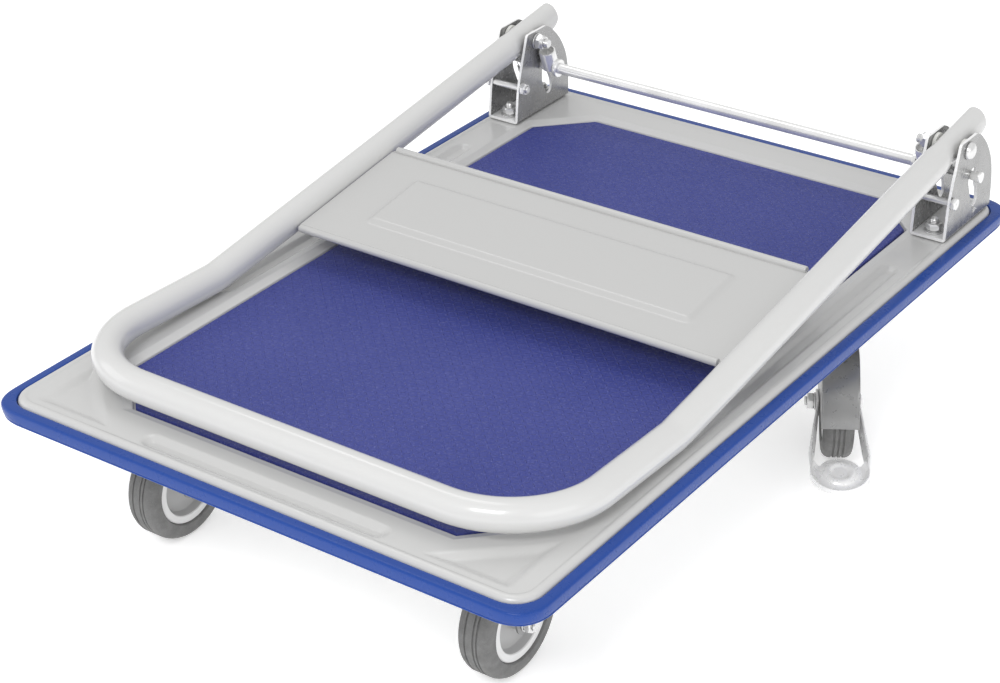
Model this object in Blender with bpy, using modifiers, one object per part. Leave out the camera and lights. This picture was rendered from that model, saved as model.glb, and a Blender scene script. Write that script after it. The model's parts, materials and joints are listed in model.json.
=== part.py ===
"""Folding platform cart: pressed deck with mat and bumper, folding tube handle, lock bar, casters."""
import math
import bmesh
import bpy
from mathutils import Matrix, Vector

for old in list(bpy.data.objects):
    bpy.data.objects.remove(old, do_unlink=True)

MM = 0.001
HEX = 1 / math.cos(math.pi / 6)         # half width across flats to corner radius

# Frame: origin on the floor under the deck centre, +Z up, +Y towards the handle hinges, +X right.
# ---- driving dimensions, mm -------------------------------------------------------------------
DECK_X, DECK_Y = 241.5, 360.5          # half sizes of the pressed deck
DECK_TOP, DECK_LOW = 141.9, 126.8      # border surface and bottom of the skirt
SHEET = 2.0
DECK_R = 22.0                          # plan corner radius of the deck
RIM_EDGE = 5.0                         # radius of the deck's rolled edge
MAT_X, MAT_Y, MAT_YC, MAT_CH = 194.0, 315.3, 2.8, 42.8
FLOOR_Z = 135.8                        # recessed floor under the mat
MAT_TOP = 138.6
BUMP_T, BUMP_Z0, BUMP_Z1 = 9.5, 127.2, 139.3
TUBE_R, TUBE_WALL = 12.7, 1.6
HANDLE_X = 220.7                       # tube centre plane
PIVOT_Y, PIVOT_Z = 297.5, 215.5
KINK_Y, KINK_Z = -142.4, 155.0
FRONT_Y, FRONT_Z = -314.2, 161.3
CORNER_R = 78.0
STUB = 45.5                            # tube length behind the pivot
FLAT_X, FLAT_Z = 10.5, 13.65           # half sizes of the flattened tube at the pivot
BRK_X0, BRK_X1, BRK_T = 204.1, 237.3, 2.5
BRK_Z0 = 142.2
BAR_Y, BAR_Z, BAR_R = 306.8, 189.1, 5.0
BAR_END_R = 4.0
SPRING_LOW = (317.6, 153.4)
HOOK_X = 233.05                        # springs, between the tube and the outer flange
STOP_Y, STOP_Z = 272.0, 176.6
WEB_BOLT_Y = (276.5, 331.0)
WHEEL_R = 46.5
WHEEL_F, WHEEL_B = 13.9, 12.8           # half widths of front and back tyres
RIM_R = 33.0
FRONT_CX, FRONT_CY = 160.0, -266.7     # rigid casters
REAR_CX, REAR_CY = 193.4, 163.2        # swivel casters
PAD_R, PAD_DISC, PAD_GAP = 24.2, 18.0, 62.0   # pedal pad: rim, inner disc, half angle of its window
TRAIL = 40.0
TRAIL_ANGLE = {"R": -59.0, "L": -121.0}  # heading of the trailing wheels about Z, from +X
PLATE_TOP = 133.5

ROOT = bpy.data.collections.new("folding_platform_cart")
CUTS = bpy.data.collections.new("cutters")
for c in (ROOT, CUTS):
    bpy.context.scene.collection.children.link(c)

COLORS = {
    "paint": ((0.66, 0.66, 0.655, 1), 0.0, 0.25), "mat": ((0.045, 0.055, 0.30, 1), 0.0, 0.8),
    "bumper": ((0.04, 0.10, 0.42, 1), 0.0, 0.45), "zinc": ((0.62, 0.62, 0.62, 1), 1.0, 0.3),
    "tyre": ((0.06, 0.06, 0.06, 1), 0.0, 0.75), "rim": ((0.42, 0.42, 0.42, 1), 0.0, 0.45),
    "nylon": ((0.75, 0.75, 0.72, 1), 0.0, 0.5),
}


# ---- helpers ----------------------------------------------------------------------------------
def material(name, kind):
    rgb, metal, rough = COLORS[kind]
    m = bpy.data.materials.new(name)
    m.use_nodes = True
    b = m.node_tree.nodes["Principled BSDF"]
    b.inputs["Base Color"].default_value = rgb
    b.inputs["Metallic"].default_value = metal
    b.inputs["Roughness"].default_value = rough
    return m


def link(name, me, cut):
    """Put a mesh in the scene as a part or, by default, as a hidden cutter."""
    ob = bpy.data.objects.new(name, me)
    (CUTS if cut else ROOT).objects.link(ob)
    if cut:
        ob.hide_render = True
        ob.display_type = 'WIRE'
    return ob


def weld(me, dist=1e-6):
    bm = bmesh.new()
    bm.from_mesh(me)
    bmesh.ops.remove_doubles(bm, verts=bm.verts, dist=dist)
    bmesh.ops.recalc_face_normals(bm, faces=bm.faces)
    bm.to_mesh(me)
    bm.free()
    return me


def to_mesh(ob, matrix=None):
    """Evaluate a curve or a modified mesh, weld it, and drop the source object."""
    bpy.context.view_layer.update()
    dg = bpy.context.evaluated_depsgraph_get()
    me = bpy.data.meshes.new_from_object(ob.evaluated_get(dg))
    me.transform(matrix if matrix else Matrix.Identity(4))
    bpy.data.objects.remove(ob, do_unlink=True)
    return weld(me)


def turn_to(axis):
    """Rotation that carries local +Z to the named axis (or to a direction)."""
    if not isinstance(axis, str):
        return axis.to_track_quat('Z', 'X').to_matrix().to_4x4()
    return {"Z": Matrix.Identity(4),
            "X": Matrix(((0, 0, 1, 0), (1, 0, 0, 0), (0, 1, 0, 0), (0, 0, 0, 1))),
            "Y": Matrix(((1, 0, 0, 0), (0, 0, -1, 0), (0, 1, 0, 0), (0, 0, 0, 1)))}[axis]


def prism(name, pts, axis, a, b, cut=True):
    """Flat outline extruded between a and b along an axis; pts are the other two coordinates."""
    cu = bpy.data.curves.new(name, 'CURVE')
    cu.dimensions = '2D'
    cu.fill_mode = 'BOTH'
    cu.extrude = abs(b - a) / 2 * MM
    sp = cu.splines.new('POLY')
    sp.points.add(len(pts) - 1)
    for p, q in zip(sp.points, pts):
        p.co = (q[0] * MM, q[1] * MM, 0, 1)
    sp.use_cyclic_u = True
    ob = bpy.data.objects.new(name, cu)
    bpy.context.scene.collection.objects.link(ob)
    mid = Vector({"X": ((a + b) / 2, 0, 0), "Y": (0, (a + b) / 2, 0), "Z": (0, 0, (a + b) / 2)}[axis])
    return link(name, to_mesh(ob, Matrix.Translation(mid * MM) @ turn_to(axis)), cut)


def lathe(name, profile, segs=32, axis="X", centre=(0, 0, 0), cut=True, closed=True):
    """Screw a (radius, height) profile about an axis; an open profile starts and ends on the axis."""
    me = bpy.data.meshes.new(name)
    n = len(profile)
    up = -MM if axis == "Y" else MM
    me.from_pydata([(r * MM, 0, h * up) for r, h in profile],
                   [(i, (i + 1) % n) for i in range(n if closed else n - 1)], [])
    ob = bpy.data.objects.new(name, me)
    bpy.context.scene.collection.objects.link(ob)
    mod = ob.modifiers.new("screw", 'SCREW')
    mod.axis = 'Z'
    mod.steps = mod.render_steps = segs
    mod.use_merge_vertices = True
    mod.merge_threshold = 1e-6
    return link(name, to_mesh(ob, Matrix.Translation(Vector(centre) * MM) @ turn_to(axis)), cut)


def rod(name, r, a, b, axis="X", centre=(0, 0, 0), segs=24, cut=True, r2=None):
    """Cylinder (or cone) from a to b along an axis through centre."""
    a, b = min(a, b), max(a, b)
    if isinstance(axis, str):
        direction = Vector([float(axis == k) for k in "XYZ"])
    else:
        direction = axis.normalized()
    mid = Vector(centre) + direction * (a + b) / 2
    bm = bmesh.new()
    far = r if r2 is None else r2
    bmesh.ops.create_cone(bm, cap_ends=True, segments=segs, radius1=r * MM, radius2=far * MM,
                          depth=(b - a) * MM, matrix=Matrix.Translation(mid * MM) @ turn_to(axis))
    me = bpy.data.meshes.new(name)
    bm.to_mesh(me)
    bm.free()
    return link(name, me, cut)


def round_box(name, hx, hy, r, z0, z1, edge, steps, cut=True):
    """Upright box with rounded corners in plan and a rolled top edge."""
    ob = prism(name, rect(hx, hy, r), "Z", z0, z1, cut)
    bm = bmesh.new()
    bm.from_mesh(ob.data)
    top = [e for e in bm.edges if all(v.co.z > (z1 - 0.01) * MM for v in e.verts)
           and any(abs(f.normal.z) < 0.5 for f in e.link_faces)]
    bmesh.ops.bevel(bm, geom=top, offset=edge * MM, segments=steps, profile=0.5, affect='EDGES')
    bm.to_mesh(ob.data)
    bm.free()
    weld(ob.data)
    return ob


def wire(name, path, r, resolution, caps=True, cut=True):
    """Round bar along a path of points."""
    cu = bpy.data.curves.new(name, 'CURVE')
    cu.dimensions = '3D'
    cu.bevel_depth = r * MM
    cu.bevel_resolution = resolution
    cu.use_fill_caps = caps
    sp = cu.splines.new('POLY')
    sp.points.add(len(path) - 1)
    for p, q in zip(sp.points, path):
        p.co = (q[0] * MM, q[1] * MM, q[2] * MM, 1)
    ob = bpy.data.objects.new(name, cu)
    bpy.context.scene.collection.objects.link(ob)
    return link(name, to_mesh(ob), cut)


def loft(name, rings, cut=True, closed=False):
    """Skin between unlike sections of equal count; the ends are capped unless the skin closes on itself."""
    bm = bmesh.new()
    rows = [[bm.verts.new(Vector(p) * MM) for p in r] for r in rings]
    n, m = len(rings[0]), len(rings)
    for k in range(m if closed else m - 1):
        a, b = rows[k], rows[(k + 1) % m]
        for i in range(n):
            bm.faces.new((a[i], a[(i + 1) % n], b[(i + 1) % n], b[i]))
    if not closed:
        bm.faces.new(rows[0])
        bm.faces.new(rows[-1])
    me = bpy.data.meshes.new(name)
    bm.to_mesh(me)
    bm.free()
    return link(name, weld(me, 1e-7), cut)


def combine(base, tools, op):
    """Apply an exact Boolean with each tool; tools stay in the cutters collection."""
    for t in tools:
        mod = base.modifiers.new("b", 'BOOLEAN')
        mod.operation = op
        mod.solver = 'EXACT'
        mod.object = t
    bpy.context.view_layer.update()
    dg = bpy.context.evaluated_depsgraph_get()
    me = bpy.data.meshes.new_from_object(base.evaluated_get(dg))
    base.modifiers.clear()
    base.data = me
    bm = bmesh.new()
    bm.from_mesh(me)
    bmesh.ops.remove_doubles(bm, verts=bm.verts, dist=2e-6)
    bmesh.ops.dissolve_degenerate(bm, edges=bm.edges, dist=2e-6)
    bmesh.ops.recalc_face_normals(bm, faces=bm.faces)
    bm.to_mesh(me)
    bm.free()
    return base


def join(base, tools):
    return combine(base, tools, 'UNION')


def cut(base, tools):
    return combine(base, tools, 'DIFFERENCE')


def finish(ob, name, kind, origin=(0, 0, 0), turn=0.0, shift=(0, 0, 0)):
    """Turn about Z, shift, put the origin on the joint axis, and give the node its material."""
    o = Vector(origin) * MM
    mat = Matrix.Translation(Vector(shift) * MM) @ Matrix.Rotation(math.radians(turn), 4, 'Z')
    ob.data.transform(Matrix.Translation(-o) @ mat)
    ob.location = o
    ob.name = name
    ob.data.name = name
    ob.data.materials.clear()
    ob.data.materials.append(material(name, kind))
    ob.data.shade_smooth()
    ob.data.set_sharp_from_angle(angle=math.radians(40))
    if ob.name not in ROOT.objects:
        ROOT.objects.link(ob)
        CUTS.objects.unlink(ob)
    ob.hide_render = False
    ob.display_type = 'TEXTURED'
    return ob


def fillet(pts, r, n=4):
    """Round every corner of an outline; r is one radius or one per corner."""
    out, m = [], len(pts)
    for i, p in enumerate(pts):
        ri = r[i] if isinstance(r, (list, tuple)) else r
        p, a, b = Vector(p), Vector(pts[i - 1]), Vector(pts[(i + 1) % m])
        if ri <= 0:
            out.append(tuple(p))
            continue
        u, v = (a - p).normalized(), (b - p).normalized()
        half = u.angle(v) / 2
        d = ri / math.tan(half)
        c = p + (u + v).normalized() * (ri / math.sin(half))
        s, e = p + u * d - c, p + v * d - c
        ang = s.angle_signed(e)
        for k in range(n + 1):
            t = -ang * k / n
            q = Vector((s.x * math.cos(t) - s.y * math.sin(t), s.x * math.sin(t) + s.y * math.cos(t)))
            out.append(tuple(c + q))
    return out


def rect(hx, hy, r, n=5, cx=0.0, cy=0.0):
    return fillet([(cx - hx, cy - hy), (cx + hx, cy - hy), (cx + hx, cy + hy), (cx - hx, cy + hy)], r, n)


def octagon(hx, hy, ch, cy):
    return [(-hx, cy - hy + ch), (-hx + ch, cy - hy), (hx - ch, cy - hy), (hx, cy - hy + ch),
            (hx, cy + hy - ch), (hx - ch, cy + hy), (-hx + ch, cy + hy), (-hx, cy + hy - ch)]


def grown(hx, hy, ch, cy, d):
    return octagon(hx + d, hy + d, ch + d * (2 - math.sqrt(2)), cy)


def at_z(pts, z):
    return [(p[0], p[1], z) for p in pts]


# ---- deck -------------------------------------------------------------------------------------
def deck_pan():
    hx, hy = DECK_X, DECK_Y
    pan = round_box("deck_pan", hx, hy, DECK_R, DECK_LOW, DECK_TOP, RIM_EDGE, 4)
    cavity = round_box("deck_cavity", hx - SHEET, hy - SHEET, DECK_R - SHEET, DECK_LOW - 5,
                       DECK_TOP - SHEET, RIM_EDGE - SHEET, 2)
    tray = loft("deck_tray", [at_z(grown(MAT_X, MAT_Y, MAT_CH, MAT_YC, 2.6), FLOOR_Z - SHEET),
                              at_z(grown(MAT_X, MAT_Y, MAT_CH, MAT_YC, 10.6), DECK_TOP - 0.5)])
    cut(cavity, [tray])
    pocket = loft("deck_pocket", [at_z(grown(MAT_X, MAT_Y, MAT_CH, MAT_YC, 0.4), FLOOR_Z),
                                  at_z(grown(MAT_X, MAT_Y, MAT_CH, MAT_YC, 0.9), MAT_TOP + 0.1),
                                  at_z(grown(MAT_X, MAT_Y, MAT_CH, MAT_YC, 8.4), DECK_TOP - 0.2),
                                  at_z(grown(MAT_X, MAT_Y, MAT_CH, MAT_YC, 10.0), DECK_TOP + 1.0)])
    tools = [cavity, pocket]
    for s in (-1, 1):
        for y in WEB_BOLT_Y:
            tools.append(rod("deck_bolt_hole", 4.3, 130, 150, "Z", (s * HANDLE_X, y, 0), 16))
        for x, y in PLATE_HOLES_R if s > 0 else PLATE_HOLES_L:
            tools.append(rod("deck_plate_hole", 3.9, 120, 136, "Z", (x, y, 0), 8))
    cut(pan, tools)
    return finish(pan, "deck_pan", "paint")


def emboss_cutters():
    """Shallow pressings of the border: corner triangles and long slots."""
    def press(name, pts, depth=1.2):
        big = [(p[0], p[1], DECK_TOP + 0.4) for p in pts]
        c = Vector((sum(p[0] for p in pts) / len(pts), sum(p[1] for p in pts) / len(pts)))
        low = []
        for p in pts:
            d = Vector(p) - c
            k = (d.length - 4.5) / d.length
            low.append((c.x + d.x * k, c.y + d.y * k, DECK_TOP - depth))
        return loft(name, [low, big])
    tools = []
    for s in (-1, 1):
        tri = fillet([(s * 148, -347.5), (s * 219, -347.5), (s * 219, -284)], 5.0, 3)
        tools.append(press("press_triangle", tri))
        slot = fillet([(s * 211, -138), (s * 229, -138), (s * 229, 206), (s * 211, 206)], 8.5, 3)
        tools.append(slot_press(slot, s * 220, s * 220, -138, 206))
    y = -342.8
    pts = fillet([(-114, y - 8.5), (114, y - 8.5), (114, y + 8.5), (-114, y + 8.5)], 8.0, 3)
    tools.append(slot_press(pts, -114, 114, y, y))
    return tools


def slot_press(pts, x0, x1, y0, y1, depth=1.1, inset=2.6):
    """Offset a straight slot outline inwards for the floor of its pressing."""
    low = []
    for p in pts:
        cx = min(max(p[0], min(x0, x1) + 8.5), max(x0, x1) - 8.5) if x0 != x1 else x0
        cy = min(max(p[1], y0 + 8.5), y1 - 8.5) if y0 != y1 else y0
        d = Vector((p[0] - cx, p[1] - cy))
        k = (d.length - inset) / d.length
        low.append((cx + d.x * k, cy + d.y * k, DECK_TOP - depth))
    return loft("press_slot", [low, [(p[0], p[1], DECK_TOP + 0.4) for p in pts]])


def deck_mat():
    mat = loft("deck_mat", [at_z(octagon(MAT_X, MAT_Y, MAT_CH, MAT_YC), FLOOR_Z + 0.1),
                            at_z(octagon(MAT_X, MAT_Y, MAT_CH, MAT_YC), MAT_TOP - 0.6),
                            at_z(grown(MAT_X, MAT_Y, MAT_CH, MAT_YC, -0.6), MAT_TOP)])
    return finish(mat, "deck_mat", "mat")


def bumper():
    """Extruded edge guard; the bend at each corner pushes its top out and draws its foot in."""
    prof = [(0.3, BUMP_Z0), (0.3, BUMP_Z1 - 3.0), (0.3, BUMP_Z1), (3.0, BUMP_Z1), (6.6, BUMP_Z1 - 0.8),
            (BUMP_T - 0.7, BUMP_Z1 - 2.2), (BUMP_T, BUMP_Z1 - 4.4), (BUMP_T - 0.2, BUMP_Z0 + 4.6),
            (BUMP_T - 1.2, BUMP_Z0 + 1.6), (BUMP_T - 3.2, BUMP_Z0)]
    bulge = [0, 0, 0, 1.2, 2.2, 3.2, 3.4, 2.2, 0.2, -1.6]
    rings = []
    for cx, cy, a0 in ((1, 1, 0), (-1, 1, 90), (-1, -1, 180), (1, -1, 270)):
        for k in range(7):
            a = math.radians(a0 + 15 * k)
            c = ((DECK_X - DECK_R) * cx, (DECK_Y - DECK_R) * cy)
            w = math.sin(math.radians(30 * k)) ** 2
            reach = [DECK_R + o + w * g for (o, _), g in zip(prof, bulge)]
            rings.append([(c[0] + r * math.cos(a), c[1] + r * math.sin(a), z)
                          for r, (_, z) in zip(reach, prof)])
    return finish(loft("bumper", rings, closed=True), "bumper", "bumper")


# ---- handle -----------------------------------------------------------------------------------
def handle_path():
    """Right half of the handle centre line as (point, flattening 0..1), hinge end first."""
    piv = Vector((HANDLE_X, PIVOT_Y, PIVOT_Z))
    kink = Vector((HANDLE_X, KINK_Y, KINK_Z))
    corner = Vector((HANDLE_X, FRONT_Y, FRONT_Z))
    u = (kink - piv).normalized()
    w = (corner - kink).normalized()
    pts = [(piv - u * STUB, 1.0), (piv - u * 20, 1.0), (piv + u * 22, 1.0), (piv + u * 30, 0.75),
           (piv + u * 38, 0.3), (piv + u * 48, 0.0), (piv + u * 240, 0.0)]
    bend = u.angle(w)
    r = 70.0
    d = r * math.tan(bend / 2)
    start, end = kink - u * d, kink + w * d
    side = (w - u * w.dot(u)).normalized()
    c = start + side * r
    for k in range(3):
        a = bend * k / 2
        pts.append((c - side * r * math.cos(a) + u * r * math.sin(a), 0.0))
    start = corner - w * CORNER_R
    c = start + Vector((-CORNER_R, 0, 0))
    for k in range(7):
        a = math.radians(90 * k / 6)
        pts.append((c + Vector((CORNER_R * math.cos(a), 0, 0)) + w * CORNER_R * math.sin(a), 0.0))
    return pts


def handle_tube():
    half = handle_path()
    full = half + [(Vector((-p.x, p.y, p.z)), f) for p, f in reversed(half)]
    tube = wire("handle_tube", [p for p, f in full], TUBE_R - TUBE_WALL / 2, 6, caps=False)
    piv = Vector((HANDLE_X, PIVOT_Y, PIVOT_Z))
    u = (Vector((HANDLE_X, KINK_Y, KINK_Z)) - piv).normalized()
    up = Vector((-1, 0, 0)).cross(u)
    for v in tube.data.vertices:
        q = v.co / MM
        side = math.copysign(HANDLE_X, q.x)
        t = (Vector((HANDLE_X, q.y, q.z)) - piv).dot(u)
        f = min(max((48.0 - t) / 26.0, 0.0), 1.0)
        f = f * f * (3 - 2 * f)
        c = piv + u * t
        w = (Vector((HANDLE_X, q.y, q.z)) - c).dot(up)
        dx = q.x - side
        if t < 60:
            kx = 1 + (FLAT_X / TUBE_R - 1) * f
            kz = 1 + (FLAT_Z / TUBE_R - 1) * f
            r = math.hypot(dx, w) / (TUBE_R - TUBE_WALL / 2)
            v.co = Vector((side + dx * kx * r, c.y + up.y * w * kz, c.z + up.z * w * kz)) * MM
    mod = tube.modifiers.new("wall", 'SOLIDIFY')
    mod.thickness = TUBE_WALL * MM
    mod.offset = 0.0
    mod.use_rim = True
    tools = [rod("tube_pivot_hole", 4.2, -250, 250, "X", (0, PIVOT_Y, PIVOT_Z), 20)]
    u = (Vector((PIVOT_Y, PIVOT_Z)) - Vector((KINK_Y, KINK_Z))).normalized()
    v = Vector((u.y, -u.x))
    piv = Vector((PIVOT_Y, PIVOT_Z))
    q = [piv + u * (STUB - 0.3) + v * 1, piv + u * 35.5 + v * 14.0, piv + u * 36 + v * 25,
         piv + u * 60 + v * 25, piv + u * 60 + v * 1]
    tools.append(prism("tube_end_trim", [tuple(k) for k in q], "X", -250, 250))
    cut(tube, tools)
    return finish(tube, "handle_tube", "paint", (0, PIVOT_Y, PIVOT_Z))


def handle_panel():
    """Sheet between the side tubes with rolled hems and a raised field, built flat then tilted."""
    hx = HANDLE_X - TUBE_R - 0.4
    w = 143.0
    t = 1.4
    body = prism("panel_sheet", [(-hx, -w / 2 + 3), (hx, -w / 2 + 3), (hx, w / 2 - 3), (-hx, w / 2 - 3)],
                 "Z", -t / 2, t / 2)
    hems = []
    for s, h0 in ((-1, 0.0), (1, 0.6)):
        hems.append(rod("panel_hem", 3.4, -hx + 3.0, hx - 3.0, "X", (0, s * (w / 2 - 3.4), h0), 14))
    fx, fy = 160.0, 37.0
    rise = 1.7
    field = loft("panel_field", [at_z(rect(fx, fy, 6, 2), 0.1), at_z(rect(fx, fy, 6, 2), t / 2 - 0.01),
                                 at_z(rect(fx - 4, fy - 4, 4, 2), t / 2 + rise)])
    mouth = rect(fx - 1, fy - 1, 5, 2)
    under = loft("panel_under", [at_z(mouth, -t / 2 - 1), at_z(mouth, -t / 2),
                                 at_z(rect(fx - 5, fy - 5, 4, 2), -t / 2 + rise)])
    join(body, hems + [field])
    cut(body, [under])
    ang = math.atan2(PIVOT_Z - KINK_Z, PIVOT_Y - KINK_Y)
    yc = 15.5
    zc = KINK_Z + (yc - KINK_Y) * math.tan(ang) - 0.4
    body.data.transform(Matrix.Translation(Vector((0, yc, zc)) * MM) @ Matrix.Rotation(ang, 4, 'X'))
    return finish(body, "handle_panel", "paint", (0, PIVOT_Y, PIVOT_Z))


# ---- brackets and lock bar --------------------------------------------------------------------
FLANGE = [(264.6, BRK_Z0), (267.6, 172.0), (272.0, 191.0), (277.5, 208.0), (283.0, 225.6),
          (312.5, 225.6), (323.5, 218.8), (335.5, 206.2), (345.2, 189.4), (349.2, 173.0),
          (350.2, 158.0), (349.8, BRK_Z0)]


def bracket(side):
    s = 1 if side == "R" else -1
    out = fillet(FLANGE, [0, 0, 0, 0, 3.0, 4.0, 0, 0, 0, 0, 0, 0], 3)
    a, b = s * BRK_X0, s * BRK_X1
    base = prism("bracket", out, "X", min(a, b), max(a, b))
    xs = sorted((s * (BRK_X0 + BRK_T), s * (BRK_X1 - BRK_T)))
    yz = [(240, BRK_Z0 + BRK_T), (380, BRK_Z0 + BRK_T), (380, 260), (240, 260)]
    tools = [prism("bracket_inside", yz, "X", xs[0], xs[1])]
    for e in (BRK_X0, BRK_X1):
        k = 1 if e == BRK_X1 else -1
        tri = [(s * (e + k), BRK_Z0 - 1), (s * (e + k), BRK_Z0 + 2.6), (s * e, BRK_Z0 + 2.6),
               (s * (e - k * 0.75), BRK_Z0 + 0.75), (s * (e - k * 2.6), BRK_Z0),
               (s * (e - k * 2.6), BRK_Z0 - 1)]
        tools.append(prism("bracket_bend", tri, "Y", 240, 380))
    tools.append(rod("bracket_pivot_hole", 4.15, s * 190, s * 250, "X", (0, PIVOT_Y, PIVOT_Z), 16))
    tools.append(rod("bracket_stop_hole", 3.15, s * 190, s * 250, "X", (0, STOP_Y, STOP_Z), 16))
    tools.append(prism("bracket_slot", slot_outline(), "X", min(s * 190, s * 250), max(s * 190, s * 250)))
    anchor = sorted((s * 230, s * 250))
    tools.append(rod("bracket_anchor", 2.7, anchor[0], anchor[1], "X",
                     (0, SPRING_LOW[0], SPRING_LOW[1] - 1.2), 12))
    for y in WEB_BOLT_Y:
        tools.append(rod("bracket_web_hole", 4.3, 135, 150, "Z", (s * HANDLE_X, y, 0), 16))
    cut(base, tools)
    return finish(base, "bracket_" + side, "zinc")


def slot_outline():
    """Curved slot of the lock bar: a pocket at its top end, narrowing towards the bottom."""
    front = [(302.3, 189.4), (302.0, 184.0), (303.6, 177.6), (306.6, 170.6), (309.6, 164.0), (312.0, 159.6)]
    foot = [(314.6, 156.6), (318.8, 156.9), (321.4, 160.6)]
    rear = [(321.4, 165.4), (320.0, 171.0), (316.6, 178.0), (314.4, 184.0), (314.8, 188.0), (316.4, 191.4)]
    top = [(314.6, 194.2), (309.0, 194.8), (304.6, 193.0)]
    return front + foot + rear + top


def lock_bar():
    c = (0, BAR_Y, BAR_Z)
    half = [(BAR_R, 184.6), (8.6, 184.6), (8.6, 188.0), (BAR_R, 188.0), (BAR_R, 202.5), (BAR_END_R, 202.5),
            (BAR_END_R, 246.2), (BAR_END_R - 0.8, 247.0), (0.0, 247.0)]
    prof = [(r, -h) for r, h in reversed(half)] + half
    bar = lathe("lock_bar", prof, 16, "X", c, closed=False)
    u = Vector((0, PIVOT_Y - BAR_Y, PIVOT_Z - BAR_Z)).normalized()
    tools, cuts = [], []
    for s in (-1, 1):
        base = Vector((s * 194.6, BAR_Y, BAR_Z))
        tools.append(rod("bar_sleeve", 7.8, -1.0, 19.0, u, base, 18))
        cuts.append(rod("bar_sleeve_bore", 6.4, 6.0, 30.0, u, base, 18))
        cuts.append(rod("bar_hook_hole", 1.3, BAR_Z - 10, BAR_Z + 10, "Z", (s * HOOK_X, BAR_Y, 0), 10))
    join(bar, tools)
    cut(bar, cuts)
    return finish(bar, "lock_bar", "zinc", c)


def lock_spring(side):
    """Tension spring from the hole in the bar's end to the hole low in the outer flange."""
    s = 1 if side == "R" else -1
    x = s * HOOK_X
    top = Vector((x, BAR_Y, BAR_Z - BAR_END_R - 1.0))
    low = Vector((x, SPRING_LOW[0], SPRING_LOW[1] + 1.2))
    t = (low - top).normalized()
    e1 = Vector((1, 0, 0))
    e2 = t.cross(e1).normalized()
    length = (low - top).length
    path = [Vector((x, BAR_Y, BAR_Z + BAR_END_R + 2.0)), top, top + t * 2.0]
    turns, steps, r = 8, 6, 0.95
    for k in range(turns * steps + 1):
        a = 2 * math.pi * k / steps
        h = 3.5 + (length - 8.5) * k / (turns * steps)
        path.append(top + t * h + (e1 * math.cos(a) + e2 * math.sin(a)) * r)
    path += [low - t * 3.0, low - t * 1.0 + e1 * s * 0.4, low + t * 0.8 + e1 * s * 2.2,
             low + t * 1.0 + e1 * s * 6.6]
    return finish(wire("lock_spring", path, 0.42, 0), "lock_spring_" + side, "zinc")


# ---- fasteners --------------------------------------------------------------------------------
def pivot_bolt(side):
    s = 1 if side == "R" else -1
    x = BRK_X1 + 0.15
    prof = [(0.0, 190.0), (4.0, 190.0), (4.0, x), (7.8, x), (7.8, x + 1.4), (7.1, x + 3.0), (5.2, x + 4.5),
            (0.0, x + 5.4)]
    ob = lathe("pivot_bolt", [(r, s * h) for r, h in prof], 20, "X", (0, PIVOT_Y, PIVOT_Z), closed=False)
    return finish(ob, "pivot_bolt_" + side, "zinc")


def nut_x(name, s, x, y, z, flat, thick, bore, washer_r, washer_t, collar=0.0):
    """Hex nut with its washer on a flange face, axis along X; x is the washer's face, s its outward sign."""
    h = rod("nut_hex", HEX * flat, x + s * (washer_t - 0.05), x + s * (washer_t + thick), "X", (0, y, z), 6)
    tools = [rod("nut_washer", washer_r, x, x + s * washer_t, "X", (0, y, z), 16)]
    if collar:
        a = x + s * (washer_t + thick - 0.3)
        b = x + s * (washer_t + thick + collar)
        tools.append(rod("nut_collar", flat * 0.94, a, b, "X", (0, y, z), 16))
    join(h, tools)
    cut(h, [rod("nut_bore", bore, x - 30, x + 30, "X", (0, y, z), 16)])
    return finish(h, name, "zinc")


def stop_bolt(side):
    s = 1 if side == "R" else -1
    x = BRK_X1 + 0.15
    shank = rod("stop_shank", 3.0, s * (BRK_X0 - 8.2), s * (x + 0.5), "X", (0, STOP_Y, STOP_Z), 16)
    head = rod("stop_head", HEX * 5.0, s * x, s * (x + 4.2), "X", (0, STOP_Y, STOP_Z), 6)
    return finish(join(head, [shank]), "stop_bolt_" + side, "zinc")


def web_bolt(side, k):
    s = 1 if side == "R" else -1
    y = WEB_BOLT_Y[k]
    c = (s * HANDLE_X, y, 0)
    top = DECK_TOP - SHEET - 0.2
    head = rod("web_head", HEX * 6.5, top - 5.2, top, "Z", c, 6)
    shank = rod("web_shank", 4.0, top - 1, BRK_Z0 + 14.6, "Z", c, 18)
    return finish(join(head, [shank]), "web_bolt_%s%d" % (side, k + 1), "zinc")


def web_nut(side, k):
    s = 1 if side == "R" else -1
    y = WEB_BOLT_Y[k]
    c = (s * HANDLE_X, y, 0)
    z = BRK_Z0 + BRK_T + 0.1
    nut = rod("web_nut", HEX * 6.5, z + 1.7, z + 8.2, "Z", c, 6)
    join(nut, [rod("web_washer", 8.5, z, z + 1.8, "Z", c, 22)])
    cut(nut, [rod("web_nut_bore", 4.1, z - 5, z + 20, "Z", c, 18)])
    return finish(nut, "web_nut_%s%d" % (side, k + 1), "zinc")


def spacer(side, where):
    s = 1 if side == "R" else -1
    x0 = (BRK_X0 + BRK_T + 0.2) if where == "in" else (HANDLE_X + FLAT_X + 0.25)
    x1 = (HANDLE_X - FLAT_X - 0.25) if where == "in" else (BRK_X1 - BRK_T - 0.2)
    prof = [(4.15, s * x0), (9.0, s * x0), (9.0, s * x1), (4.15, s * x1)]
    ob = lathe("spacer", prof, 24, "X", (0, PIVOT_Y, PIVOT_Z))
    return finish(ob, "pivot_spacer_%s_%s" % (where, side), "nylon")


# ---- wheels and casters -----------------------------------------------------------------------
def tyre_profile(w):
    r = WHEEL_R
    pts = [(RIM_R + 0.25, w - 2.0), (RIM_R + 1.2, w), (r - 6.0, w), (r - 2.0, w - 1.8), (r, w - 6.0)]
    return pts + [(a, -b) for a, b in reversed(pts)]


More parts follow.
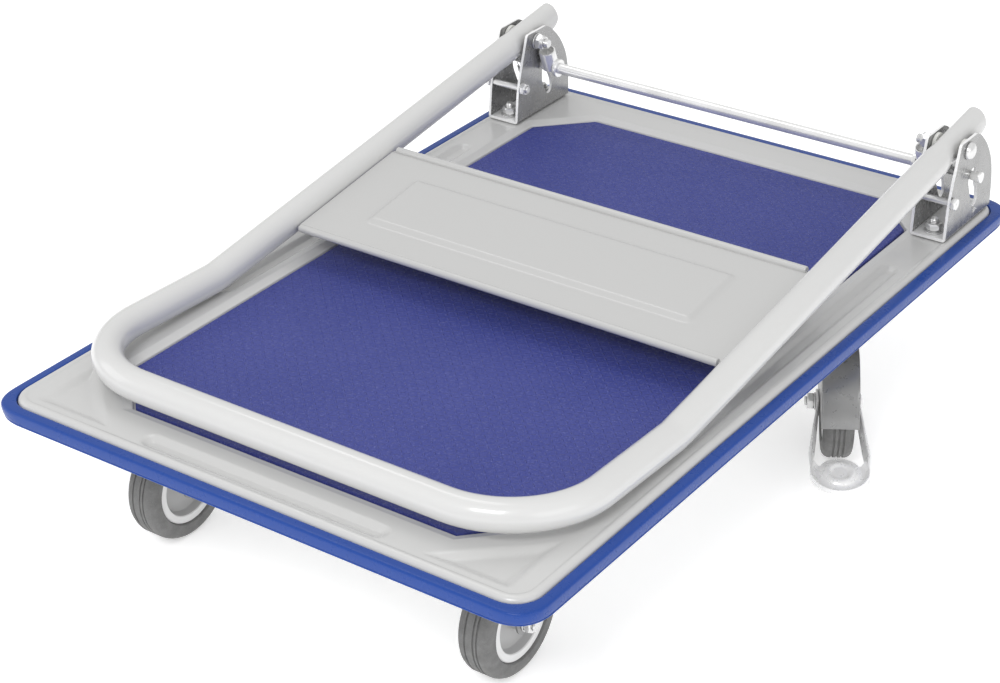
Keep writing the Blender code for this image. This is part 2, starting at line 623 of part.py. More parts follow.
def rim_profile(w):
    pts = [(4.15, w + 0.3), (8.2, w + 0.3), (9.0, 5.5), (23.5, 5.0), (26.0, w - 1.6), (RIM_R, w - 1.6)]
    return pts + [(a, -b) for a, b in reversed(pts)]


def wheel(tag, centre, turn, w):
    t = lathe("tyre", tyre_profile(w), 28, "Y")
    r = lathe("rim", rim_profile(w), 24, "Y")
    finish(t, "tyre_" + tag, "tyre", centre, turn, centre)
    finish(r, "wheel_rim_" + tag, "rim", centre, turn, centre)


def axle(tag, centre, turn, reach):
    """Axle bolt with a low round head; its nut is on the local -Y side."""
    prof = [(0.0, -reach - 9.2), (4.0, -reach - 9.2), (4.0, reach), (7.4, reach), (7.4, reach + 1.2),
            (5.0, reach + 2.4), (0.0, reach + 2.6)]
    bolt = lathe("axle_bolt", prof, 16, "Y", closed=False)
    finish(bolt, "axle_bolt_" + tag, "zinc", centre, turn, centre)
    nut = rod("axle_nut", HEX * 6.5, -reach - 7.0, -reach - 0.1, "Y", segs=6)
    cut(nut, [rod("axle_nut_bore", 4.1, -reach - 20, -reach + 5, "Y", (0, 0, 0), 16)])
    finish(nut, "axle_nut_" + tag, "zinc", centre, turn, centre)


def plate_holes(cx, cy, dx=24.0, dy=35.0):
    return [(cx + i * dx, cy + j * dy) for i in (-1, 1) for j in (-1, 1)]


PLATE_HOLES_R = plate_holes(FRONT_CX, FRONT_CY) + plate_holes(REAR_CX, REAR_CY)
PLATE_HOLES_L = plate_holes(-FRONT_CX, FRONT_CY) + plate_holes(-REAR_CX, REAR_CY)
STUD_TOP = FLOOR_Z - 0.3


def mounting_plate(name, cx, cy):
    """Top plate with the four fixing bolts whose nuts sit under it."""
    plate = prism(name, rect(33, 45, 6, 2, cx, cy), "Z", PLATE_TOP - 2.5, PLATE_TOP)
    tools = []
    for x, y in plate_holes(cx, cy):
        tools.append(rod("plate_stud", 3.5, PLATE_TOP - 8.5, STUD_TOP, "Z", (x, y, 0), 8))
        tools.append(rod("plate_nut", HEX * 5.5, PLATE_TOP - 7.5, PLATE_TOP - 2.0, "Z", (x, y, 0), 6))
    return join(plate, tools)


def rigid_caster(side):
    s = 1 if side == "R" else -1
    cx, cy, zc = s * FRONT_CX, FRONT_CY, WHEEL_R
    tag = "F" + side
    body = mounting_plate("rigid_fork", cx, cy)
    tools = []
    for k in (-1, 1):
        a, b = sorted((cx + k * 14.6, cx + k * 16.4))
        leg = fillet([(cy - 27, PLATE_TOP - 1.0), (cy - 9.5, zc - 9), (cy + 9.5, zc - 9),
                      (cy + 27, PLATE_TOP - 1.0)], [0, 8.5, 8.5, 0], 4)
        tools.append(prism("rigid_leg", leg, "X", a, b))
    join(body, tools)
    cut(body, [rod("rigid_axle_hole", 4.15, cx - 30, cx + 30, "X", (0, cy, zc), 16)])
    finish(body, "rigid_fork_" + side, "zinc")
    wheel(tag, (cx, cy, zc), 90.0, WHEEL_F)
    axle(tag, (cx, cy, zc), 90.0, 16.6)


def swivel_plate(side):
    s = 1 if side == "R" else -1
    cx, cy = s * REAR_CX, REAR_CY
    plate = mounting_plate("swivel_plate", cx, cy)
    prof = [(0.0, 99.5), (9.0, 99.5), (9.0, 102.6), (5.9, 102.6), (5.9, 120.0), (27.0, 120.0),
            (27.0, PLATE_TOP - 2.0), (0.0, PLATE_TOP - 2.0)]
    cup = lathe("swivel_cup", prof, 22, "Z", (cx, cy, 0), closed=False)
    join(plate, [cup])
    return finish(plate, "swivel_plate_" + side, "zinc")


def swivel_fork(side):
    """Stamped fork in local axes: kingpin at the origin, wheel trailing along +X, axle along Y."""
    s = 1 if side == "R" else -1
    zc, u = WHEEL_R, TRAIL
    inner, outer = 13.5, 15.3
    body = prism("swivel_crown", rect(27, outer, 3, 2, 3, 0), "Z", 103.0, 106.0)
    race = rod("swivel_race", 23.0, 105.5, 119.7, "Z", (0, 0, 0), 22)
    legs = []
    sweep = [math.radians(a) for a in range(-4, 97, 10)]
    hood = [(u + 50.2 * math.cos(a), zc + 50.2 * math.sin(a)) for a in sweep]
    out = [(u + 9.5, zc - 9.0), (u + 14.0, zc)] + hood + [
        (u + 2, zc + 55), (30, 106.0), (-24, 106.0), (-24, 96.0),
        (u - 14, zc - 3.0), (u - 8.5, zc - 10.0), (u, zc - 12.5)]
    for k in (-1, 1):
        a, b = sorted((k * inner, k * outer))
        legs.append(prism("swivel_leg", out, "Y", a, b))
    back = [math.radians(a) for a in range(96, -5, -10)]
    arc = hood + [(u + 48.4 * math.cos(a), zc + 48.4 * math.sin(a)) for a in back]
    legs.append(prism("swivel_hood", arc, "Y", -outer, outer))
    join(body, [race] + legs)
    cut(body, [rod("swivel_bore", 6.3, 90, 130, "Z", (0, 0, 0), 22),
               rod("swivel_axle_hole", 4.15, -30, 30, "Y", (u, 0, zc), 16)])
    c = (s * REAR_CX, REAR_CY, 0)
    return finish(body, "swivel_fork_" + side, "zinc", c, TRAIL_ANGLE[side], c)


def splay(ob, start, slope):
    """Bend a flat arm outwards beyond local x = start."""
    bm = bmesh.new()
    bm.from_mesh(ob.data)
    bmesh.ops.bisect_plane(bm, geom=bm.verts[:] + bm.edges[:] + bm.faces[:], dist=1e-7,
                           plane_co=(start * MM, 0, 0), plane_no=(1, 0, 0))
    for v in bm.verts:
        v.co.y += slope * max(0.0, v.co.x - start * MM)
    bm.to_mesh(ob.data)
    bm.free()


def brake_pedal(side):
    """Stamped pedal pivoting on the axle; local origin at the axle, pad along +X."""
    s = 1 if side == "R" else -1
    zc = WHEEL_R
    wall = PAD_R - 1.8
    prof = [(0.0, -1.0), (PAD_R, -1.0), (PAD_R, 5.0), (wall, 5.0), (wall, 1.0), (14.0, 1.0),
            (11.5, 3.4), (0.0, 3.4)]
    pad = lathe("pedal_pad", prof, 28, "Z", closed=False)
    fan = [math.radians(180 + PAD_GAP * k / 4) for k in range(-4, 5)]
    window = [(PAD_DISC * math.cos(a), PAD_DISC * math.sin(a)) for a in fan]
    window += [(30 * math.cos(a), 30 * math.sin(a)) for a in reversed(fan)]
    cut(pad, [prism("pedal_window", window, "Z", -6, 10)])
    tilt = Matrix.Rotation(math.radians(11), 4, 'Y')
    pad.data.transform(Matrix.Translation(Vector((74.0, 0, -24.5)) * MM) @ tilt)
    arms = []
    for k in (-1, 1):
        out = fillet([(-10.5, -9), (9, -10), (48, -22.5), (60, -24.5), (78, -29.5), (78, -22.5), (58, -15),
                      (12, 9), (-10.5, 9)], [8, 0, 0, 0, 0, 0, 0, 6, 8], 3)
        arm = prism("pedal_arm", out, "Y", k * 16.7 - 1.0, k * 16.7 + 1.0)
        splay(arm, 13.0, k * 0.088)
        arms.append(arm)
    join(pad, arms)
    cut(pad, [rod("pedal_axle_hole", 4.15, -40, 40, "Y", (0, 0, 0), 16)])
    turn = math.radians(TRAIL_ANGLE[side])
    c = (s * REAR_CX + TRAIL * math.cos(turn), REAR_CY + TRAIL * math.sin(turn), zc)
    return finish(pad, "brake_pedal_" + side, "zinc", c, TRAIL_ANGLE[side], c)


def rear_wheel(side):
    s = 1 if side == "R" else -1
    turn = math.radians(TRAIL_ANGLE[side])
    c = (s * REAR_CX + TRAIL * math.cos(turn), REAR_CY + TRAIL * math.sin(turn), WHEEL_R)
    wheel("R" + side, c, TRAIL_ANGLE[side], WHEEL_B)
    axle("R" + side, c, TRAIL_ANGLE[side], 18.0)


def build():
    pan = deck_pan()
    cut(pan, emboss_cutters())
    deck_mat()
    bumper()
    handle_tube()
    handle_panel()
    lock_bar()
    for side in ("L", "R"):
        s = 1 if side == "R" else -1
        bracket(side)
        lock_spring(side)
        pivot_bolt(side)
        nut_x("pivot_nut_" + side, -s, s * (BRK_X0 - 0.15), PIVOT_Y, PIVOT_Z, 6.5, 6.5, 4.1, 7.6, 1.4, 1.8)
        stop_bolt(side)
        nut_x("stop_nut_" + side, -s, s * (BRK_X0 - 0.15), STOP_Y, STOP_Z, 5.0, 5.0, 3.1, 5.4, 1.0)
        for k in (0, 1):
            web_bolt(side, k)
            web_nut(side, k)
        for where in ("in", "out"):
            spacer(side, where)
        rigid_caster(side)
        swivel_plate(side)
        swivel_fork(side)
        rear_wheel(side)
        brake_pedal(side)


build()
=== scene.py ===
"""Looks of the folding platform cart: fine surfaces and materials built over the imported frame."""
import json
import math

import bmesh
import bpy
from mathutils import Matrix, Vector


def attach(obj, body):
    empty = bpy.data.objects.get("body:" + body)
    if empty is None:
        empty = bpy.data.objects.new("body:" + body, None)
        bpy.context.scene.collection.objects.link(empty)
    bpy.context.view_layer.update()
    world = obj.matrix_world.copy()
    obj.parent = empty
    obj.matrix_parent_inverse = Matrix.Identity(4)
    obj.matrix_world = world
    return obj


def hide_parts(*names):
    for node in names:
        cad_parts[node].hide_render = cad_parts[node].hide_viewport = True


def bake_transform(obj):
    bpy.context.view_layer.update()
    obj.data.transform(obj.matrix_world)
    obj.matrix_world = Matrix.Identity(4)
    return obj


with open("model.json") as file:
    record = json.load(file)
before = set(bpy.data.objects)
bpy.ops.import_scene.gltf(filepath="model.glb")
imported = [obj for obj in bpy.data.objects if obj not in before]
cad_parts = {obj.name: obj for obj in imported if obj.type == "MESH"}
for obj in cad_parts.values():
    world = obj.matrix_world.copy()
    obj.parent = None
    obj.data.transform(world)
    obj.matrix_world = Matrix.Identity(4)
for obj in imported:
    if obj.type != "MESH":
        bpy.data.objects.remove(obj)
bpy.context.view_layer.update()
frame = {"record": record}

MM = 0.001
scene = bpy.context.scene

# ---- dimensions, mm, the same frame as the CAD ---------------------------------------------------
DECK_X, DECK_Y = 241.5, 360.5
DECK_TOP, DECK_LOW = 141.9, 126.8
DECK_R, RIM_EDGE, SHEET, PRESS = 22.0, 5.0, 2.0, 3.6
BEAD_END, SLOPE_TOP = 8.4, 11.0
PRESSED_CORNER = [(146, -348), (220, -348), (220, -282)]
PRESSED_SLOTS = ((0, -342.8, 114, 8.8), (219, 34.0, 9.0, 172))
SLOT_R, CORNER_WALL, SLOT_WALL = 8.5, 8.5, 6.0
MAT_X, MAT_Y, MAT_YC, MAT_CH = 194.0, 315.3, 2.8, 42.8
FLOOR_Z, MAT_TOP = 135.8, 138.6
BUMP_T, BUMP_Z0, BUMP_Z1 = 9.5, 127.2, 139.3
TUBE_R, TUBE_WALL, HANDLE_X = 12.7, 1.6, 220.7
PIVOT_Y, PIVOT_Z = 297.5, 215.5
KINK_Y, KINK_Z = -142.4, 155.0
FRONT_Y, FRONT_Z = -314.2, 161.3
CORNER_R, KINK_R, STUB = 78.0, 70.0, 45.5
FLAT_X, FLAT_Z = 10.5, 13.65
PANEL_W, PANEL_T, PANEL_YC = 143.0, 1.4, 15.5
FIELD_X, FIELD_Y, FIELD_H, FIELD_WALL = 154.0, 31.0, 2.9, 6.0
HEM_R = 3.4
BRK_X0, BRK_X1, BRK_T, BRK_Z0, BRK_BEND = 204.1, 237.3, 2.5, 142.2, 3.2
BAR_Y, BAR_Z, BAR_R, BAR_END_R = 306.8, 189.1, 5.0, 4.0
SPRING_LOW, HOOK_X = (317.6, 153.4), 233.05
STOP_Y, STOP_Z = 272.0, 176.6
WEB_BOLT_Y = (276.5, 331.0)
NUT_M6, NUT_M7, NUT_M8 = 5.0, 5.5, 6.5
WHEEL_R, WHEEL_F, WHEEL_B, RIM_R = 46.5, 13.9, 12.8, 33.0
FRONT_CX, FRONT_CY = 160.0, -266.7
REAR_CX, REAR_CY, TRAIL = 193.4, 163.2, 40.0
HOOD_R, HOOD_IN, LEG_IN, LEG_OUT = 50.2, 48.4, 13.5, 15.3
PAD_DISC, PAD_GAP, PAD_TILT, PAD_AT = 18.0, 62.0, 11.0, (74.0, 0, -24.5)
ARM_Y, ARM_LEAN = 16.7, 0.088
TRAIL_ANGLE = {"R": -59.0, "L": -121.0}
PLATE_TOP = 133.5


# ---- material nodes ------------------------------------------------------------------------------
class Nodes:
    """Short calls for building a node tree."""

    def __init__(self, name):
        self.m = bpy.data.materials.new(name)
        self.m.use_nodes = True
        self.t = self.m.node_tree
        self.b = self.t.nodes["Principled BSDF"]
        self.coord = self.t.nodes.new("ShaderNodeTexCoord").outputs["Object"]

    def put(self, socket, value):
        if isinstance(value, bpy.types.NodeSocket):
            self.t.links.new(value, socket)
        elif value is not None:
            socket.default_value = value

    def math(self, op, a, b=None, c=None):
        n = self.t.nodes.new("ShaderNodeMath")
        n.operation = op
        for k, v in enumerate((a, b, c)):
            self.put(n.inputs[k], v)
        return n.outputs[0]

    def noise(self, scale, detail=3.0, rough=0.5, stretch=None):
        src = self.coord
        if stretch:
            s = self.t.nodes.new("ShaderNodeMapping")
            s.inputs["Scale"].default_value = stretch
            self.t.links.new(src, s.inputs["Vector"])
            src = s.outputs[0]
        n = self.t.nodes.new("ShaderNodeTexNoise")
        self.t.links.new(src, n.inputs["Vector"])
        n.inputs["Scale"].default_value = scale
        n.inputs["Detail"].default_value = detail
        n.inputs["Roughness"].default_value = rough
        return n.outputs["Fac"]

    def ramp(self, fac, stops):
        n = self.t.nodes.new("ShaderNodeValToRGB")
        self.t.links.new(fac, n.inputs[0])
        el = n.color_ramp.elements
        while len(el) < len(stops):
            el.new(0.5)
        for e, (pos, v) in zip(el, stops):
            e.position = pos
            e.color = (v, v, v, 1)
        return n.outputs[0]

    def mix(self, fac, a, b):
        n = self.t.nodes.new("ShaderNodeMix")
        n.data_type = 'RGBA'
        self.put(n.inputs[0], fac)
        for s, v in ((n.inputs[6], a), (n.inputs[7], b)):
            self.put(s, (*v, 1) if isinstance(v, tuple) else v)
        return n.outputs[2]

    def bump(self, height, strength, distance, normal=None):
        n = self.t.nodes.new("ShaderNodeBump")
        n.inputs["Strength"].default_value = strength
        n.inputs["Distance"].default_value = distance
        self.t.links.new(height, n.inputs["Height"])
        if normal:
            self.t.links.new(normal, n.inputs["Normal"])
        return n.outputs[0]

    def set(self, **sockets):
        for k, v in sockets.items():
            key = k.replace("_", " ").title().replace("Ior", "IOR")
            if isinstance(v, tuple) and len(v) == 3:
                v = (*v, 1)
            self.put(self.b.inputs[key], v)
        return self.m


def paint(name, rgb, rough=0.24):
    """Baked enamel: faint orange peel under a soft gloss coat."""
    n = Nodes(name)
    drift = n.ramp(n.noise(5.0, 2.0), [(0.3, 0.0), (0.7, 1.0)])
    col = n.mix(drift, tuple(c * 0.985 for c in rgb), rgb)
    ro = n.ramp(n.noise(60.0, 2.0), [(0.3, rough * 0.92), (0.7, rough * 1.1)])
    nrm = n.bump(n.noise(330.0, 1.0), 0.035, 0.0002)
    return n.set(base_color=col, roughness=ro, normal=nrm, coat_weight=0.3, coat_roughness=0.08)


def zinc(name, rgb, rough=0.25, metal=0.5, grain=0.12, cloudy=0.10, painted_crevice_shade=True):
    """Bright zinc plate: cloudy tone, fine upright streaks, broken gloss, painted shade darkening its
    crevices.
    """
    n = Nodes(name)
    cloud = n.ramp(n.noise(32.0, 3.0, 0.5), [(0.30, 0.0), (0.70, 1.0)])
    low, high = 1 - cloudy, 1 + cloudy / 2
    col = n.mix(cloud, tuple(c * low for c in rgb), tuple(min(1.0, c * high) for c in rgb))
    streak = n.noise(700.0, 2.0, 0.6, (1.0, 1.0, grain))
    col = n.mix(n.ramp(streak, [(0.42, 0.0), (0.75, 0.2)]), col, tuple(c * 0.78 for c in rgb))
    if painted_crevice_shade:
        # painted shade: the colour falls to a sixth of the zinc where the AO node finds surfaces within 5 mm,
        # in crevices and round nuts and heads
        near = n.t.nodes.new("ShaderNodeAmbientOcclusion")
        near.samples = 16
        near.inputs["Distance"].default_value = 0.005
        shade = n.ramp(near.outputs["AO"], [(0.20, 0.55), (0.75, 0.0)])
        col = n.mix(shade, col, tuple(c * 0.16 for c in rgb))
    ro = n.ramp(n.noise(140.0, 3.0, 0.6), [(0.3, rough * 0.75), (0.75, rough * 1.3)])
    return n.set(base_color=col, roughness=ro, metallic=metal, normal=n.bump(streak, 0.04, 0.0001))


def mat_rubber():
    """Blue PVC deck mat embossed with small lozenges that lie crosswise in turn, their raised tops painted
    lighter as a highlight.
    """
    n = Nodes("mat_blue")
    pitch = 0.0056
    sep = n.t.nodes.new("ShaderNodeSeparateXYZ")
    n.t.links.new(n.coord, sep.inputs[0])
    u, v = (n.math('DIVIDE', sep.outputs[k], pitch) for k in (0, 1))
    par = n.math('FLOORED_MODULO', n.math('ADD', n.math('FLOOR', u), n.math('FLOOR', v)), 2.0)
    sgn = n.math('MULTIPLY_ADD', par, 2.0, -1.0)
    lx, ly = (n.math('SUBTRACT', n.math('FRACT', w), 0.5) for w in (u, v))
    lys = n.math('MULTIPLY', ly, sgn)
    a, b = n.math('ADD', lx, lys), n.math('SUBTRACT', lx, lys)
    q = n.math('ADD', n.math('POWER', n.math('ABSOLUTE', n.math('DIVIDE', a, 0.66)), 2.0),
               n.math('POWER', n.math('ABSOLUTE', n.math('DIVIDE', b, 0.24)), 2.0))
    bar = n.math('SMOOTH_MAX', n.math('SUBTRACT', 1.0, q), 0.0, 0.15)
    bar = n.math('MINIMUM', bar, 1.0)
    fine = n.noise(1100.0, 3.0, 0.7)
    drift = n.ramp(n.noise(9.0, 4.0), [(0.3, 0.0), (0.7, 1.0)])
    col = n.mix(drift, (0.034, 0.047, 0.245), (0.046, 0.059, 0.275))
    dark = n.ramp(n.noise(620.0, 2.0, 0.6), [(0.33, 0.6), (0.44, 0.0)])
    col = n.mix(dark, col, (0.020, 0.027, 0.165))
    scuff = n.ramp(n.noise(760.0, 3.0, 0.7), [(0.57, 0.0), (0.72, 0.9)])
    col = n.mix(scuff, col, (0.15, 0.17, 0.42))
    # painted highlight: the raised lozenges are mixed towards a lighter blue
    col = n.mix(n.math('MULTIPLY', bar, 0.30), col, (0.095, 0.11, 0.37))
    nrm = n.bump(bar, 0.9, 0.0008, n.bump(fine, 0.7, 0.0004))
    ro = n.ramp(n.noise(300.0, 3.0), [(0.3, 0.46), (0.7, 0.64)])
    return n.set(base_color=col, roughness=ro, normal=nrm, specular_ior_level=0.4)


def soft_plastic(name, rgb, rough=0.42, tint=0.95, grain=0.10, coat=0.0, level=0.5):
    """Extruded or moulded plastic: long flow streaks, slight scuffs."""
    n = Nodes(name)
    drift = n.ramp(n.noise(25.0, 3.0, 0.5), [(0.3, 0.0), (0.7, 1.0)])
    col = n.mix(drift, tuple(c * tint for c in rgb), rgb)
    scuff = n.ramp(n.noise(420.0, 4.0, 0.7), [(0.66, 0.0), (0.80, 0.35)])
    col = n.mix(scuff, col, tuple(min(1.0, c * 1.25 + 0.02) for c in rgb))
    ro = n.ramp(n.noise(90.0, 4.0), [(0.3, rough * 0.85), (0.7, rough * 1.2)])
    nrm = n.bump(n.noise(700.0, 3.0), grain, 0.0002)
    return n.set(base_color=col, roughness=ro, normal=nrm, coat_weight=coat, coat_roughness=0.12,
                 specular_ior_level=level)


def rubber(name, rgb):
    """Cast tyre rubber: matte, dusty, with faint rubbed streaks."""
    n = Nodes(name)
    dust = n.ramp(n.noise(110.0, 5.0, 0.65), [(0.35, 0.0), (0.75, 1.0)])
    col = n.mix(dust, tuple(c * 0.80 for c in rgb), tuple(c * 1.15 for c in rgb))
    grit = n.ramp(n.noise(800.0, 3.0, 0.7), [(0.55, 0.0), (0.8, 0.5)])
    col = n.mix(grit, col, tuple(c * 1.6 for c in rgb))
    nrm = n.bump(n.noise(800.0, 4.0, 0.7), 0.3, 0.0003)
    return n.set(base_color=col, roughness=0.7, normal=nrm, specular_ior_level=0.35)


M = {
    "deck": paint("deck_enamel", (0.575, 0.575, 0.57)),
    "handle": paint("handle_enamel", (0.645, 0.645, 0.64), 0.18),
    "panel": paint("panel_enamel", (0.535, 0.535, 0.53), 0.24),
    "mat": mat_rubber(),
    "bumper": soft_plastic("bumper_blue", (0.015, 0.060, 0.292), 0.28, 0.97, 0.03, 0.06, 0.24),
    "zinc": zinc("zinc_plate", (0.80, 0.80, 0.80), 0.20, 0.55),
    "bar": zinc("bar_zinc", (0.97, 0.97, 0.96), 0.18, 0.55),
    "steel": zinc("bracket_steel", (0.355, 0.355, 0.355), 0.26, 0.6, cloudy=0.12),
    # near-white copy of the zinc for the bracket's edge faces: a painted highlight
    "edge": zinc("edge_painted_highlight", (0.97, 0.97, 0.97), 0.35, 0.2),
    "fork": zinc("fork_zinc", (0.28, 0.28, 0.28), 0.32, 0.5, 0.06, 0.12, False),
    "pedal": zinc("pedal_zinc", (0.89, 0.89, 0.89), 0.30, 0.22, painted_crevice_shade=False),
    "tyre": rubber("tyre_rubber", (0.18, 0.18, 0.178)),
    "rim": soft_plastic("rim_grey", (0.46, 0.46, 0.46), 0.4, 0.94, 0.12),
    "rim_face": soft_plastic("rim_ring", (0.78, 0.78, 0.78), 0.35, 0.96, 0.08),
    "nylon": soft_plastic("nylon_white", (0.74, 0.74, 0.71), 0.4),
}
BODY_OF = {n: b for b, names in frame["record"]["behaviour"]["bodies"].items() for n in names}


# ---- mesh helpers --------------------------------------------------------------------------------
def link(name, data):
    ob = bpy.data.objects.new(name, data)
    scene.collection.objects.link(ob)
    return ob


def from_bm(name, bm):
    bmesh.ops.recalc_face_normals(bm, faces=bm.faces)
    me = bpy.data.meshes.new(name)
    bm.to_mesh(me)
    bm.free()
    return link(name, me)


def to_mesh(ob, matrix=None):
    """Evaluate a curve or a modified mesh into a plain welded mesh object."""
    bpy.context.view_layer.update()
    me = bpy.data.meshes.new_from_object(ob.evaluated_get(bpy.context.evaluated_depsgraph_get()))
    if matrix:
        me.transform(matrix)
    name = ob.name
    bpy.data.objects.remove(ob, do_unlink=True)
    bm = bmesh.new()
    bm.from_mesh(me)
    bpy.data.meshes.remove(me)
    bmesh.ops.remove_doubles(bm, verts=bm.verts, dist=1e-6)
    return from_bm(name, bm)


def turn_to(axis):
    if not isinstance(axis, str):
        return axis.to_track_quat('Z', 'X').to_matrix().to_4x4()
    return {"Z": Matrix.Identity(4),
            "X": Matrix(((0, 0, 1, 0), (1, 0, 0, 0), (0, 1, 0, 0), (0, 0, 0, 1))),
            "Y": Matrix(((1, 0, 0, 0), (0, 0, -1, 0), (0, 1, 0, 0), (0, 0, 0, 1)))}[axis]


def slab(name, pts, axis, a, b, edge=0.0, segs=2):
    """Flat outline between a and b along an axis, with its rims rounded."""
    h = abs(b - a) / 2
    bm = bmesh.new()
    low = bm.faces.new([bm.verts.new((x * MM, y * MM, -h * MM)) for x, y in pts])
    up = bmesh.ops.extrude_face_region(bm, geom=[low])
    lifted = [g for g in up["geom"] if isinstance(g, bmesh.types.BMVert)]
    bmesh.ops.translate(bm, vec=(0, 0, 2 * h * MM), verts=lifted)
    bmesh.ops.recalc_face_normals(bm, faces=bm.faces)
    if edge:
        rims = [e for e in bm.edges if len(e.link_faces) == 2
                and abs(abs(e.link_faces[0].normal.z) - abs(e.link_faces[1].normal.z)) > 0.5]
        bmesh.ops.bevel(bm, geom=rims, offset=edge * MM, segments=segs, profile=0.5, affect='EDGES',
                        clamp_overlap=True)
    mid = Vector({"X": ((a + b) / 2, 0, 0), "Y": (0, (a + b) / 2, 0), "Z": (0, 0, (a + b) / 2)}[axis])
    bmesh.ops.transform(bm, matrix=Matrix.Translation(mid * MM) @ turn_to(axis), verts=bm.verts)
    return from_bm(name, bm)


def lathe(name, profile, segs=64, axis="X", centre=(0, 0, 0), closed=True):
    """Screw a (radius, height) profile about an axis."""
    me = bpy.data.meshes.new(name)
    n = len(profile)
    up = -MM if axis == "Y" else MM
    me.from_pydata([(r * MM, 0, h * up) for r, h in profile],
                   [(i, (i + 1) % n) for i in range(n if closed else n - 1)], [])
    ob = link(name, me)
    mod = ob.modifiers.new("screw", 'SCREW')
    mod.axis = 'Z'
    mod.steps = mod.render_steps = segs
    mod.use_merge_vertices = True
    mod.merge_threshold = 1e-6
    return to_mesh(ob, Matrix.Translation(Vector(centre) * MM) @ turn_to(axis))


def wire(name, path, r, resolution=4, caps=True):
    cu = bpy.data.curves.new(name, 'CURVE')
    cu.dimensions = '3D'
    cu.bevel_depth = r * MM
    cu.bevel_resolution = resolution
    cu.use_fill_caps = caps
    sp = cu.splines.new('POLY')
    sp.points.add(len(path) - 1)
    for p, q in zip(sp.points, path):
        p.co = (q[0] * MM, q[1] * MM, q[2] * MM, 1)
    return to_mesh(link(name, cu))


def loft(name, rings, closed=False, caps=True):
    """Skin through rings of equal count; closed joins the last ring to the first."""
    bm = bmesh.new()
    rows = [[bm.verts.new(Vector(p) * MM) for p in r] for r in rings]
    n, m = len(rings[0]), len(rings)
    for k in range(m if closed else m - 1):
        a, b = rows[k], rows[(k + 1) % m]
        for i in range(n):
            bm.faces.new((a[i], a[(i + 1) % n], b[(i + 1) % n], b[i]))
    if not closed and caps:
        bm.faces.new(rows[0])
        bm.faces.new(rows[-1])
    return from_bm(name, bm)


def cut(base, tools):
    """Take the tools away from a mesh, and delete them."""
    for t in tools:
        mod = base.modifiers.new("b", 'BOOLEAN')
        mod.operation = 'DIFFERENCE'
        mod.solver = 'EXACT'
        mod.object = t
    bpy.context.view_layer.update()
    me = bpy.data.meshes.new_from_object(base.evaluated_get(bpy.context.evaluated_depsgraph_get()))
    base.modifiers.clear()
    base.data = me
    for t in tools:
        bpy.data.objects.remove(t, do_unlink=True)


def merge(name, parts):
    """One mesh from several closed shells that overlap."""
    bm = bmesh.new()
    for p in parts:
        p.data.transform(p.matrix_world)
        bm.from_mesh(p.data)
        bpy.data.objects.remove(p, do_unlink=True)
    me = bpy.data.meshes.new(name)
    bm.to_mesh(me)
    bm.free()
    return link(name, me)


def done(ob, nodes, kind, sharp=32.0, turn=0.0, shift=(0, 0, 0), extra=None):
    """Place, shade, paint and mount a piece that stands for the named CAD nodes."""
    nodes = [nodes] if isinstance(nodes, str) else nodes
    ob.data.transform(Matrix.Translation(Vector(shift) * MM) @ Matrix.Rotation(math.radians(turn), 4, 'Z'))
    ob.name = "look_" + nodes[0]
    ob.data.name = ob.name
    ob.data.materials.clear()
    ob.data.materials.append(M[kind])
    ob.data.shade_smooth()
    ob.data.set_sharp_from_angle(angle=math.radians(sharp))
    if extra:
        ob.data.materials.append(M[extra[0]])
        for p in ob.data.polygons:
            p.material_index = 1 if extra[1](p) else 0
    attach(ob, BODY_OF[nodes[0]])
    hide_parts(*nodes)


def fillet(pts, r, n=8):
    """Round the corners of an outline by r, one radius or one for each corner."""
    out, m = [], len(pts)
    for i, p in enumerate(pts):
        ri = r[i] if isinstance(r, (list, tuple)) else r
        p, a, b = Vector(p), Vector(pts[i - 1]), Vector(pts[(i + 1) % m])
        if ri <= 0:
            out.append(tuple(p))
            continue
        u, v = (a - p).normalized(), (b - p).normalized()
        half = u.angle(v) / 2
        d = ri / math.tan(half)
        c = p + (u + v).normalized() * (ri / math.sin(half))
        s, e = p + u * d - c, p + v * d - c
        ang = s.angle_signed(e)
        for k in range(n + 1):
            t = -ang * k / n
            sin, cos = math.sin(t), math.cos(t)
            out.append(tuple(c + Vector((s.x * cos - s.y * sin, s.x * sin + s.y * cos))))
    return out


def rect(hx, hy, r, n=8, cx=0.0, cy=0.0):
    return fillet([(cx - hx, cy - hy), (cx + hx, cy - hy), (cx + hx, cy + hy), (cx - hx, cy + hy)], r, n)


def arc(cx, cy, r, degrees):
    return [(cx + r * math.cos(math.radians(a)), cy + r * math.sin(math.radians(a))) for a in degrees]


def circle(cx, cy, r, n=32):
    turns = [2 * math.pi * k / n for k in range(n)]
    return [(cx + r * math.cos(a), cy + r * math.sin(a)) for a in turns]


def spline(pts, n=4, closed=False):
    """Catmull-Rom curve through tuples of any length."""
    out, m = [], len(pts)
    get = (lambda i: pts[i % m]) if closed else (lambda i: pts[min(max(i, 0), m - 1)])
    for i in range(m if closed else m - 1):
        p0, p1, p2, p3 = get(i - 1), get(i), get(i + 1), get(i + 2)
        for k in range(n):
            t = k / n
            out.append(tuple(0.5 * (2 * b + (c - a) * t + (2 * a - 5 * b + 4 * c - d) * t * t
                                    + (3 * b - a - 3 * c + d) * t ** 3)
                             for a, b, c, d in zip(p0, p1, p2, p3)))
    if not closed:
        out.append(tuple(pts[-1]))
    return out


def ease(t):
    t = min(max(t, 0.0), 1.0)
    return t * t * (3 - 2 * t)


def wall(t, w=0.16):
    """Straight slope from 0 to 1 with rounded ends."""
    t = min(max(t, 0.0), 1.0)
    k = 1 / (1 - w)
    if t < w:
        return k * t * t / (2 * w)
    if t > 1 - w:
        return 1 - k * (1 - t) ** 2 / (2 * w)
    return k * (t - w / 2)


